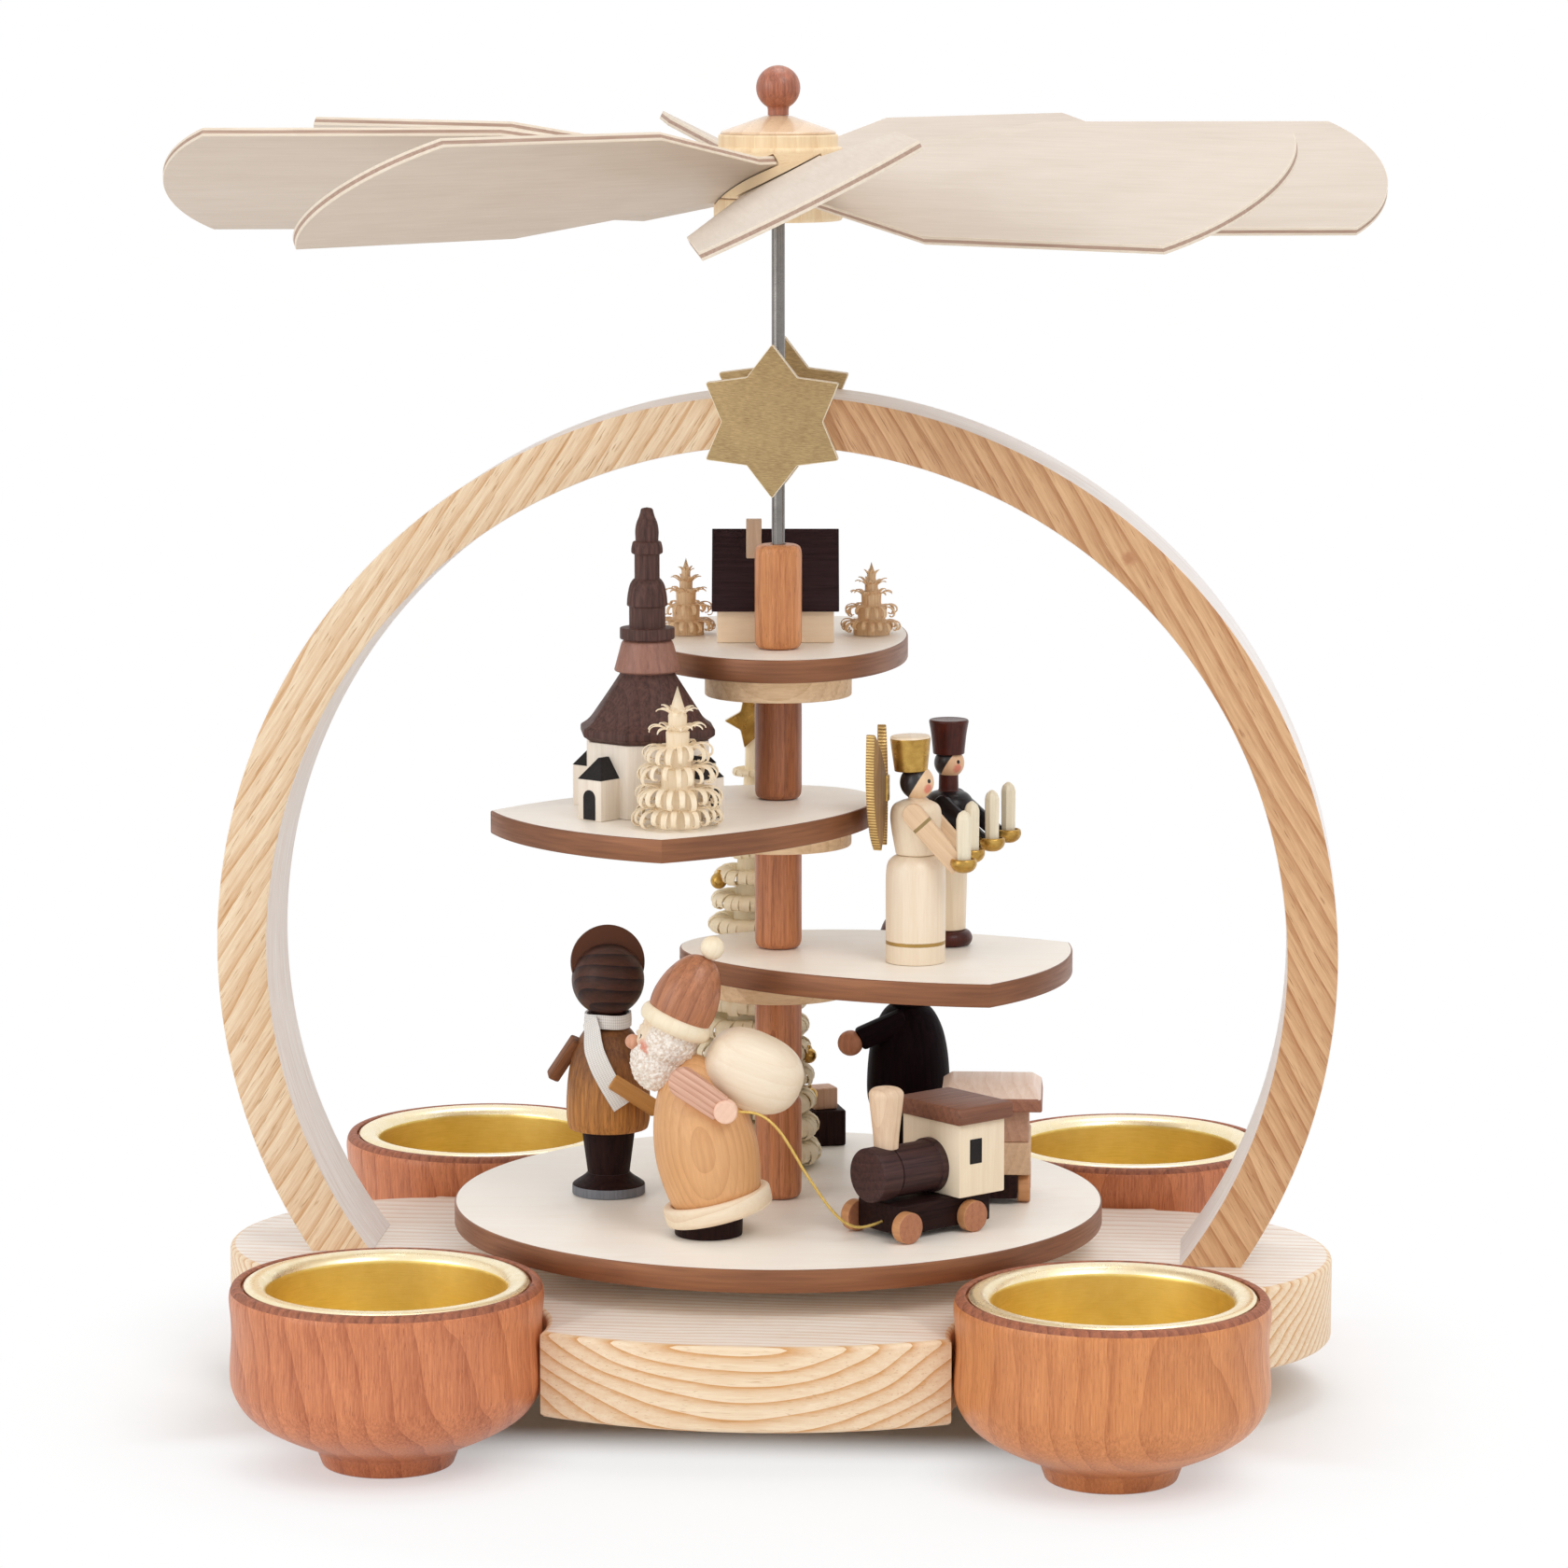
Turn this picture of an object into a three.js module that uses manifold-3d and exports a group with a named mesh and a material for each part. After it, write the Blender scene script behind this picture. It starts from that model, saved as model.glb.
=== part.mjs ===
// A four-tier wooden christmas pyramid for tea lights.
// The stand is a cloverleaf base plate with an arch and four candle cups. The rotor is a steel spindle
// that carries an eight-bladed fan and four tiers of turned and carved scenery.
// Millimetres, +Z up, origin on the spindle's axis at table level, +X to the viewer's right.

import * as THREE from 'three';
import { mergeVertices } from 'three/addons/utils/BufferGeometryUtils.js';
import Module from 'manifold-3d';

const wasm = await Module();
wasm.setup();

// Clearances
const glueGap = 0.05;
const fitGap = 0.3;
const spindleGap = 0.25;

// Facets of round forms
const bigRound = 48;
const cupRound = 24;
const midRound = 16;
const smallRound = 12;
const tinyRound = 8;

// Base plate
const baseLift = 9.5;
const baseThickness = 14.5;
const baseDiscRadius = 75;
const sideLobeRadius = 35;
const baseChamfer = 0.9;
const baseTop = baseLift + baseThickness;

// Candle cups and their tea-light inserts
const cupHeight = 31;
const cupRadius = 26.3;
const cupRimWall = 2.4;
const cupFootRadius = 10.9;
const cupFootHeight = 2.6;
const cupAngle = 45.8;
const cupToTier = 3.2;
const lightRadius = 20;
const lightDepth = 12;
const insertSheet = 0.6;
const insertLip = 0.7;

// Arch and stars
const archOuterRadius = 97.5;
const archRadial = 8.8;
const archWidth = 22;
const archRise = 53.5;
const archBevel = 0.5;
const starTipRadius = 13.2;
const starNotchRadius = 8.7;
const starThickness = 2.2;
const baseInsideArch = 0.2;
const archCentre = baseTop + archRise;
const archMiddleRadius = archOuterRadius - archRadial / 2;
const archInnerRadius = archOuterRadius - archRadial;
const baseHalfWidth = archOuterRadius - baseInsideArch;

// Spindle and its bearings
const spindleRadius = 1.15;
const spindlePoint = 2.5;
const bearingRadius = 3;
const bearingDepth = 4.5;
const bearingFloor = 1.5;
const bushWall = 1.2;
const spindleTipHeight = baseTop - bearingDepth + bearingFloor + fitGap;
const boreRadius = spindleRadius + spindleGap;

// Tiers, washers and posts
const tierThickness = 4;
const tierBevel = 0.25;
const roundTierRadius = 57;
const petalReach = 51.5;
const petalCentre = 27;
const petalHalfLength = 44.5;
const petalHalfWidth = 25;
const washerRadius = 12.8;
const washerThickness = 4;
const postRadius = 4.1;
const postLength = 18.2;
const postRounding = 1.1;
const lowestTierGap = 4.8;
const tierTwoAngle = 340;
const tierThreeAngle = 222;
const tierFourAngle = 94.5;
const rotorTurn = 4.65;

// Heights that follow from the stack on the spindle
const lowTierTop = baseTop + lowestTierGap + tierThickness;
const storey = washerThickness + tierThickness + postLength + 3 * glueGap;
const secondTierTop = lowTierTop + 2 * (postLength + glueGap) + washerThickness + tierThickness + 2 * glueGap;
const thirdTierTop = secondTierTop + storey;
const fourthTierTop = thirdTierTop + storey;

// Fan
const hubRadius = 11.1;
const hubHeight = 12.6;
const hubRimRadius = 10.3;
const hubRimHeight = 2.2;
const hubAboveArch = 29.2;
const capHeight = 3.1;
const capNeckRadius = 2.1;
const finialRadius = 3.8;
const finialNeckHeight = 0.9;
const fanRadius = 105.2;
const bladeCount = 8;
const bladeChord = 38.2;
const bladeRootChord = 15.6;
const bladeFlareEnd = 47.6;
const bladeTipSagitta = 7.7;
const bladeThickness = 1.6;
const bladePitch = 26.6;
const bladeRootRadius = 8.4;
const fanPhase = 3;
const slotGap = 0.25;
const hubBottom = archCentre + archOuterRadius + hubAboveArch;
const hubTop = hubBottom + hubHeight;
const bladeHeight = hubBottom + hubHeight / 2 + 0.9;

// House on the fourth tier, in front of which the top post stands
const house = {
  place: [-0.5, 15.6],
  width: 20.5,
  depth: 15.4,
  wallHeight: 6.9,
  roofRise: 10.2,
  roofThickness: 1.3,
  roofOverhang: 0.9,
  eaveOverhang: 1.1,
  chimneyWide: 2.7,
  chimneyDeep: 2.6,
  chimneyPlace: -3.8,
  chimneyTop: 2,
};

// Curled-shaving trees: place, height, radius of the lowest ring and count of rings
const rightSmallTree = { place: [16.5, 21], height: 12.9, radius: 5.4, rings: 5, trunk: 1 };
const leftSmallTree = { place: [-16.4, 21.5], height: 13.6, radius: 5.2, rings: 5, trunk: 1 };
const frontTree = { place: [-16.9, -33.4], height: 24, radius: 7.6, rings: 6, trunk: 1.3 };
const tallTree = { place: [-4.5, 28.6], height: 73, radius: 12, rings: 16, trunk: 1.4 };
const treeStar = { radius: 5.2, thickness: 1.1, centre: 81, lean: 18 };
const treeBalls = [{ radius: 1.5, ring: 11, bearing: 207 }, { radius: 1.4, ring: 4, bearing: 342.6 }];

// Church on the third tier
const church = {
  place: [-22.4, -15],
  turn: 230,
  wallRadius: 11.1,
  wallHeight: 12.6,
  porchReach: 15,
  porchWidth: 5.3,
  porchHeight: 7,
  porchRoof: 3.6,
  roofRadius: 12.2,
  roofRise: 11.4,
  roofTopRadius: 4.7,
  steepleHeight: 28.3,
  // Radius of each storey, and the share of the steeple's height that it reaches
  steeple: [[2.95, 0.29], [2.95, 0.4], [3.5, 0.41], [2.9, 0.55], [2.1, 0.56], [2.1, 0.71], [2.75, 0.73],
    [2.05, 0.8], [2.05, 0.85], [0.95, 1]],
};

// Angel and miner on the second tier
const angel = {
  place: [23.7, -14.2],
  facing: 351,
  skirtRadius: 5.2,
  skirtHeight: 18.7,
  bustRadius: 4.5,
  bustHeight: 9.2,
  headRadius: 2.8,
  crownRadius: 3.5,
  crownHeight: 6.8,
  hands: { reach: 9, apart: 5.6, height: 16.6 },
};
const miner = {
  place: [29.8, 2.9],
  facing: 342,
  shoeRadius: 4.4,
  shoeHeight: 2.7,
  legRadius: 3.4,
  legHeight: 12.9,
  coatRadius: 4.7,
  coatHeight: 11.9,
  headRadius: 2.6,
  hatRadius: 3.5,
  hatHeight: 6,
  hands: { reach: 9.4, apart: 5.2, height: 17.8 },
};
const candle = { radius: 1.3, height: 8.2, cupRadius: 2.2, cupHeight: 2.5 };
const candleArm = { start: 0.6, end: 0.8, lift: 0.9, width: 2.4, thickness: 1.8 };
const wing = { span: 7.2, height: 21.2, thickness: 1.1, bottom: 19.3, spread: 3 };

// Bearded gift bearer on the lowest tier, leaning to the left with a sack on its back. A place is given
// as x and height within the figure.
const bearer = {
  place: [-11.9, -29.6],
  footRadius: 5.9,
  footHeight: 3.6,
  hemRadius: 9.4,
  hemThickness: 3.6,
  hemTilt: 13.6,
  hemPlace: [1.6, 5.1],
  bodyRadius: 8.9,
  bodyLength: 26,
  bodyPlace: [1.4, 5.8],
  lean: 11,
  headRadius: 5.2,
  headPlace: [-7, 33.6],
  beardRadius: 4.4,
  beardPlace: [-8.7, 30],
  noseRadius: 1.3,
  nosePlace: [-12.9, 33.4],
  brimRadius: 6.2,
  brimThickness: 2.8,
  brimPlace: [-5.5, 36.8],
  hatRadius: 5.8,
  hatLength: 11.6,
  hatTilt: 24,
  hatPlace: [-5.2, 37.6],
  pomRadius: 2,
  sackLong: 8.9,
  sackRadius: 6.9,
  sackTilt: 22,
  sackPlace: [7.7, 28.2],
  armWidth: 4.1,
  armThickness: 2.4,
  armStart: [-4.9, 29.8],
  armEnd: [1.9, 23.4],
  armSide: 7.7,
  handRadius: 2.1,
  handLength: 3,
  handPlace: [3, 23],
  handSide: 6.7,
};

// Child with a scarf, and the dark-dressed figure behind
const child = {
  place: [-30, 3.2],
  turn: 100,
  footRadius: 6.45,
  coatRadius: 7.45,
  headRadius: 6.1,
  capRadius: 6.3,
  leftSleeve: { start: [0.4, 5.36, 27.6], end: [3.4, 9.69, 20.4], width: 2.6, thickness: 2.2 },
  rightSleeve: { start: [-6.9, 0.4, 21.4], end: [-8.1, -7.5, 16.2], width: 2.4, thickness: 2.9 },
};
const darkFigure = {
  place: [23.4, 24.2],
  turn: 185,
  footRadius: 6.2,
  coatRadius: 7.5,
  headRadius: 5.3,
  capRadius: 5.7,
  frontSleeve: { start: [1, 3.75, 28], end: [9.4, 4.125, 24.4], width: 4.2, thickness: 3 },
  sideSleeve: { start: [0.6, -5.4, 27.6], end: [5, -8.25, 20.6], width: 2.8, thickness: 2.4 },
  handRadius: 2.3,
  handPlace: [10.9, 4.125, 23.8],
};
const figureHeights = {
  foot: 2,
  ankle: 3.4,
  coatBottom: 11.7,
  coatTop: 29.9,
  neckTop: 32.4,
  neckRadius: 3.3,
  top: 48,
};

// Presents
const presents = {
  place: [8, 46],
  turn: 12,
  bigWide: 7.6,
  bigDeep: 7,
  bigHeight: 6.6,
  smallWide: 4.6,
  smallHeight: 4,
};

// Train: the locomotive follows the rim of the tier, and the wagon follows it
const loco = {
  place: [23.3, -27.3],
  heading: 220,
  chassisFront: 8,
  chassisRear: 14,
  chassisWidth: 11.2,
  chassisBottom: 1.1,
  chassisTop: 6.2,
  wheelRadius: 2.7,
  wheelThickness: 2.1,
  wheelBase: 14.8,
  boilerRadius: 4.6,
  boilerFront: 10.7,
  cabFront: -3.8,
  cabRear: -14.2,
  cabWidth: 14.8,
  cabHeight: 12.8,
  roofThickness: 2.9,
  roofOverhang: 1.1,
  chimneyHeight: 10.6,
  chimneyRadius: 3.05,
  chimneyFoot: 2.1,
  chimneyPlace: 6.4,
};
const wagon = {
  place: [37.6, 1.4],
  heading: 267,
  length: 17,
  width: 13.8,
  chassisBottom: 1.1,
  chassisTop: 5,
  wheelRadius: 2.6,
  wheelThickness: 2.2,
  wheelBase: 10.6,
  lowerTop: 11.1,
  upperTop: 16.9,
  roofWidth: 18,
  roofOverhang: 2,
  roofSlab: 0.6,
  roofTop: 3.1,
  roofEndSlope: 1.3,
  roofSideSlope: 1.5,
};

// Gold tow cord from the bearer's hand to the front of the locomotive, height above the tier's top.
const cordDiameter = 0.55;
const cordPoints = [
  [-6.75, -38.2, 23.0],
  [-5.2, -38.5, 23.0],
  [-3.7, -38.8, 22.8],
  [-2.3, -39.0, 22.2],
  [-0.9, -39.2, 21.1],
  [0.5, -39.2, 19.5],
  [1.8, -39.2, 17.5],
  [3.1, -39.1, 15.3],
  [4.4, -39.0, 13.0],
  [5.8, -38.8, 10.8],
  [7.2, -38.5, 8.6],
  [8.6, -38.2, 6.6],
  [10.0, -37.7, 4.9],
  [11.4, -37.1, 3.6],
  [12.8, -36.4, 2.8],
  [14.2, -35.6, 2.5],
  [15.6, -34.8, 2.6],
  [16.8, -33.95, 2.8],
  [17.68, -33.2, 3.0],
];

const rad = THREE.MathUtils.degToRad;

// Turns a three.js geometry into a solid whose shared vertices are merged
function solid(geometry) {
  const bare = geometry.index ? geometry.toNonIndexed() : geometry.clone();
  bare.deleteAttribute('normal');
  bare.deleteAttribute('uv');
  const merged = mergeVertices(bare, 1e-4);
  const index = merged.index.array;
  const kept = [];
  for (let i = 0; i < index.length; i += 3) {
    const [a, b, c] = [index[i], index[i + 1], index[i + 2]];
    if (a !== b && b !== c && c !== a) kept.push(a, b, c);
  }
  const vertProperties = Float32Array.from(merged.attributes.position.array);
  return new wasm.Manifold(new wasm.Mesh({ numProp: 3, vertProperties, triVerts: Uint32Array.from(kept) }));
}

// Turns a solid back into a geometry
function shell(body) {
  const { vertProperties, triVerts } = body.getMesh();
  const geometry = new THREE.BufferGeometry();
  geometry.setAttribute('position', new THREE.Float32BufferAttribute(vertProperties, 3));
  geometry.setIndex(Array.from(triVerts));
  geometry.computeVertexNormals();
  return geometry;
}

// One solid from several overlapping geometries
function join(...geometries) {
  return geometries.map(solid).reduce((sum, next) => sum.add(next));
}

// A turned form: pairs of radius and height from the bottom up, on the Z axis
function turned(profile, facets) {
  const points = profile.map(([radius, height]) => new THREE.Vector2(radius, height));
  return new THREE.LatheGeometry(points, facets).rotateX(Math.PI / 2);
}

// A turned ring, whose profile closes on itself
function turnedRing(profile, facets) {
  return turned([...profile, profile[0]], facets);
}

function cylinder(radius, height, facets, bottom = 0) {
  return turned([[0, bottom], [radius, bottom], [radius, bottom + height], [0, bottom + height]], facets);
}

function ball(radius, facets) {
  return new THREE.SphereGeometry(radius, facets, Math.round(facets / 2)).rotateX(Math.PI / 2);
}

function box(wide, deep, high, bottom = 0) {
  return new THREE.BoxGeometry(wide, deep, high).translate(0, 0, bottom + high / 2);
}

// A flat board in the XY plane, from z = 0 up
function board(shape, thickness, facets, bevel = 0) {
  return new THREE.ExtrudeGeometry(shape, {
    depth: thickness - 2 * bevel,
    curveSegments: facets,
    bevelEnabled: bevel > 0,
    bevelThickness: bevel,
    bevelSize: bevel,
    bevelOffset: -bevel,
    bevelSegments: 1,
  }).translate(0, 0, bevel);
}

// A board that stands in the XZ plane, its thickness shared out to both sides of y = 0
function standing(shape, thickness, facets, bevel = 0) {
  return board(shape, thickness, facets, bevel).rotateX(Math.PI / 2).translate(0, thickness / 2, 0);
}

function polygon(points) {
  return new THREE.Shape(points.map(([x, y]) => new THREE.Vector2(x, y)));
}

function named(name, geometry, colour, roughness, metalness = 0) {
  const material = new THREE.MeshStandardMaterial({ color: colour, roughness, metalness });
  const mesh = new THREE.Mesh(geometry, material);
  mesh.name = name;
  return mesh;
}

const ash = 0xe6cfa6;
const cherry = 0xb8694a;
const brass = 0xd8b45c;
const gold = 0xc2a560;
const steel = 0xb9b9bd;
const maple = 0xe2bf86;
const birch = 0xefe0c8;
const reddish = 0xb97850;
const darkWood = 0x3a2723;
const cream = 0xe9d6b0;

const pyramid = new THREE.Group();

// Places a tier's piece: x to the right and y away from the viewer, on a tier's top
function onTier(mesh, [x, y], top, turn = 0) {
  mesh.position.set(x, y, top + glueGap);
  mesh.rotation.z = rad(turn);
  return mesh;
}

function buildStand() {
  const stand = new THREE.Group();
  const cupDistance = roundTierRadius + cupToTier + cupRadius;
  const cupX = cupDistance * Math.cos(rad(cupAngle));
  const cupY = cupDistance * Math.sin(rad(cupAngle));
  const cupPlaces = {
    front_left: [-cupX, -cupY],
    front_right: [cupX, -cupY],
    rear_left: [-cupX, cupY],
    rear_right: [cupX, cupY],
  };
  stand.add(named('base_plate', basePlate(Object.values(cupPlaces)), ash, 0.6));
  stand.add(named('bearing_cup', bearingCup(), steel, 0.35, 0.9));
  stand.add(named('arch', arch(), ash, 0.6));
  stand.add(named('arch_bush', archBush(), brass, 0.4, 0.9));
  const starOffset = archWidth / 2 + glueGap + starThickness / 2;
  for (const [side, y] of [['front', -starOffset], ['rear', starOffset]]) {
    const star = named(`star_${side}`, starPlate(), gold, 0.4, 0.6);
    star.position.set(0, y, archCentre + archMiddleRadius);
    stand.add(star);
  }
  for (const [corner, [x, y]] of Object.entries(cupPlaces)) {
    const cup = named(`candle_cup_${corner}`, candleCup(), cherry, 0.5);
    const insert = named(`light_insert_${corner}`, lightInsert(), brass, 0.3, 0.9);
    cup.position.set(x, y, 0);
    insert.position.set(x, y, 0);
    stand.add(cup, insert);
  }
  return stand;
}

// A disc with chamfered rims
function chamferedDisc(radius, thickness, facets) {
  const c = baseChamfer;
  return turned([[0, 0], [radius - c, 0], [radius, c], [radius, thickness - c], [radius - c, thickness],
    [0, thickness]], facets);
}

function basePlate(cupPlaces) {
  const lobeCentre = baseHalfWidth - sideLobeRadius;
  let plate = join(
    chamferedDisc(baseDiscRadius, baseThickness, bigRound),
    chamferedDisc(sideLobeRadius, baseThickness, bigRound / 2).translate(-lobeCentre, 0, 0),
    chamferedDisc(sideLobeRadius, baseThickness, bigRound / 2).translate(lobeCentre, 0, 0),
  );
  for (const [x, y] of cupPlaces) {
    const notch = cylinder(cupRadius + fitGap, baseThickness + 2, cupRound, -1).translate(x, y, 0);
    plate = plate.subtract(solid(notch));
  }
  const bore = cylinder(bearingRadius + fitGap, bearingDepth + 1 + fitGap, smallRound,
    baseThickness - bearingDepth - fitGap);
  return shell(plate.subtract(solid(bore))).translate(0, 0, baseLift);
}

function bearingCup() {
  const floor = baseTop - bearingDepth;
  const seat = spindleRadius + spindleGap * 2;
  return turned([[0, floor], [bearingRadius, floor], [bearingRadius, baseTop], [seat, baseTop],
    [seat, floor + bearingFloor + spindlePoint], [0, floor + bearingFloor]], smallRound);
}

function arch() {
  const outerX = Math.sqrt(archOuterRadius ** 2 - archRise ** 2);
  const innerX = Math.sqrt(archInnerRadius ** 2 - archRise ** 2);
  const outerAngle = Math.atan2(-archRise, outerX);
  const innerAngle = Math.atan2(-archRise, innerX);
  const band = new THREE.Shape();
  band.absarc(0, 0, archOuterRadius, outerAngle, Math.PI - outerAngle, false);
  band.absarc(0, 0, archInnerRadius, Math.PI - innerAngle, innerAngle, true);
  const raw = standing(band, archWidth, 19, archBevel).translate(0, 0, archCentre);
  const foot = box(3 * archOuterRadius, 2 * archWidth, archRise, baseTop + glueGap - archRise);
  const bore = cylinder(spindleRadius + spindleGap + bushWall + fitGap, 3 * archRadial, smallRound,
    archCentre + archMiddleRadius - 1.5 * archRadial);
  return shell(solid(raw).subtract(solid(foot)).subtract(solid(bore)));
}

function archBush() {
  const inner = spindleRadius + spindleGap;
  const outer = inner + bushWall;
  const half = archRadial / 2 - 0.5;
  const middle = archCentre + archMiddleRadius;
  return turnedRing([[inner, middle - half], [outer, middle - half], [outer, middle + half],
    [inner, middle + half]], smallRound);
}

// A six-pointed plate that stands in the XZ plane
function starPlate() {
  const corners = [];
  for (let i = 0; i < 12; i += 1) {
    const radius = i % 2 === 0 ? starTipRadius : starNotchRadius;
    const angle = rad(90 + 30 * i);
    corners.push([radius * Math.cos(angle), radius * Math.sin(angle)]);
  }
  return standing(polygon(corners), starThickness, 1);
}

function candleCup() {
  const bore = lightRadius + insertSheet + fitGap;
  const recess = cupRadius - cupRimWall + fitGap;
  const boreFloor = cupHeight - lightDepth - 2 * insertSheet - fitGap;
  const bowl = cupHeight - cupFootHeight;
  return turned([
    [0, 0],
    [cupFootRadius, 0],
    [cupFootRadius + 1.2, cupFootHeight],
    [cupRadius * 0.52, cupFootHeight + 0.045 * bowl],
    [cupRadius * 0.74, cupFootHeight + 0.137 * bowl],
    [cupRadius * 0.909, cupFootHeight + 0.232 * bowl],
    [cupRadius * 0.97, cupFootHeight + 0.34 * bowl],
    [cupRadius, cupFootHeight + 0.46 * bowl],
    [cupRadius - 0.6, cupFootHeight + 0.72 * bowl],
    [cupRadius, cupHeight - 2.4],
    [cupRadius - 0.3, cupHeight - 0.7],
    [cupRadius - 0.9, cupHeight],
    [recess, cupHeight],
    [recess, cupHeight - insertLip - fitGap],
    [bore, cupHeight - insertLip - fitGap],
    [bore, boreFloor],
    [0, boreFloor],
  ], cupRound);
}

function lightInsert() {
  const flange = cupRadius - cupRimWall;
  const wall = lightRadius + insertSheet;
  const floor = cupHeight - lightDepth - insertSheet;
  return turned([
    [0, floor - insertSheet],
    [wall - 1.4, floor - insertSheet],
    [wall, floor + 0.8],
    [wall, cupHeight - insertLip],
    [flange - 0.4, cupHeight - insertLip],
    [flange, cupHeight - 0.3],
    [flange - 0.8, cupHeight + 0.25],
    [lightRadius + 1, cupHeight],
    [lightRadius, cupHeight - 1.2],
    [lightRadius, floor + 1.4],
    [lightRadius - 1.4, floor],
    [0, floor],
  ], cupRound);
}

function spindle() {
  const top = hubTop - hubRimHeight;
  return turned([[0, spindleTipHeight], [spindleRadius, spindleTipHeight + spindlePoint],
    [spindleRadius, top], [0, top]], tinyRound + 2);
}

function fanHub() {
  const c = 0.6;
  const body = turned([[0, 0], [hubRadius - c, 0], [hubRadius, c], [hubRadius, hubHeight - c],
    [hubRadius - c, hubHeight], [hubRimRadius, hubHeight], [hubRimRadius, hubHeight + hubRimHeight],
    [0, hubHeight + hubRimHeight]], cupRound).translate(0, 0, hubBottom);
  const bore = cylinder(spindleRadius + fitGap, hubTop - hubRimHeight + fitGap - hubBottom + 1,
    tinyRound + 2, hubBottom - 1);
  let hub = solid(body).subtract(solid(bore));
  for (let i = 0; i < bladeCount; i += 1) {
    const reach = hubRadius * 2;
    const slot = new THREE.BoxGeometry(reach, bladeRootChord + 2 * fitGap, bladeThickness + 2 * slotGap);
    slot.translate(bladeRootRadius - slotGap + reach / 2, 0, 0);
    slot.rotateX(rad(bladePitch));
    slot.rotateZ(rad(fanPhase + (360 / bladeCount) * i));
    hub = hub.subtract(solid(slot.translate(0, 0, bladeHeight)));
  }
  return shell(hub);
}

function hubCap() {
  const base = hubTop + hubRimHeight + glueGap;
  return turned([[0, base], [hubRimRadius - 0.4, base], [hubRimRadius - 0.4, base + 0.4],
    [capNeckRadius, base + capHeight], [0, base + capHeight]], midRound);
}

function finialBall() {
  const base = hubTop + hubRimHeight + capHeight + 2 * glueGap;
  const neck = cylinder(capNeckRadius - 0.3, finialNeckHeight + 1, smallRound, base);
  const sphere = ball(finialRadius, smallRound).translate(0, 0, base + finialNeckHeight + finialRadius);
  return shell(join(neck, sphere));
}

// A flat blade along +X: narrow root, straight flare, round outer end
function fanBlade() {
  const half = bladeChord / 2;
  const root = bladeRootChord / 2;
  const arcRadius = (half ** 2 + bladeTipSagitta ** 2) / (2 * bladeTipSagitta);
  const arcAngle = Math.asin(half / arcRadius);
  const outline = new THREE.Shape();
  outline.moveTo(bladeRootRadius, -root);
  outline.lineTo(hubRadius + 1.5, -root);
  outline.lineTo(bladeFlareEnd, -half);
  outline.absarc(fanRadius - arcRadius, 0, arcRadius, -arcAngle, arcAngle, false);
  outline.lineTo(bladeFlareEnd, half);
  outline.lineTo(hubRadius + 1.5, root);
  outline.lineTo(bladeRootRadius, root);
  return board(outline, bladeThickness, 7).translate(0, 0, -bladeThickness / 2);
}

function post() {
  const r = postRadius;
  const c = postRounding;
  return turnedRing([[boreRadius, 0], [r - c, 0], [r - 0.3 * c, 0.3 * c], [r, c], [r, postLength - c],
    [r - 0.3 * c, postLength - 0.3 * c], [r - c, postLength], [boreRadius, postLength]], midRound);
}

// Points of a circle, or of a part of it, that run anticlockwise from one angle to the other
function arcPoints(radius, start, end, count, [x, y] = [0, 0], squash = 1) {
  const points = [];
  for (let i = 0; i <= count; i += 1) {
    const angle = start + ((end - start) * i) / count;
    points.push([x + radius * Math.cos(angle), y + squash * radius * Math.sin(angle)]);
  }
  return points;
}

// The spindle's hole through a tier or a washer
function spindleHole() {
  const points = arcPoints(boreRadius, 0, 2 * Math.PI, smallRound).slice(1).reverse();
  return new THREE.Path(points.map(([x, y]) => new THREE.Vector2(x, y)));
}

function roundBoard(radius, thickness, facets, bevel = 0) {
  const outline = polygon(arcPoints(radius, 0, 2 * Math.PI, facets).slice(1));
  outline.holes.push(spindleHole());
  return board(outline, thickness, 1, bevel);
}

// A petal along +X: an ellipse round the spindle, cut off by a circle about the axis
function petalBoard() {
  const a2 = petalHalfLength ** 2;
  const b2 = petalHalfWidth ** 2;
  const qa = 1 / a2 - 1 / b2;
  const qb = (-2 * petalCentre) / a2;
  const qc = petalCentre ** 2 / a2 + petalReach ** 2 / b2 - 1;
  const cornerX = (-qb - Math.sqrt(qb ** 2 - 4 * qa * qc)) / (2 * qa);
  const cornerY = Math.sqrt(petalReach ** 2 - cornerX ** 2);
  const outer = Math.atan2(cornerY, cornerX);
  const side = Math.atan2(cornerY / petalHalfWidth, (cornerX - petalCentre) / petalHalfLength);
  const rim = arcPoints(petalReach, -outer, outer, 10).slice(0, -1);
  const squash = petalHalfWidth / petalHalfLength;
  const around = arcPoints(petalHalfLength, side, 2 * Math.PI - side, 34, [petalCentre, 0], squash);
  const inside = around.slice(0, -1);
  const outline = polygon([...rim, ...inside]);
  outline.holes.push(spindleHole());
  return board(outline, tierThickness, 1, tierBevel);
}

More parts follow.
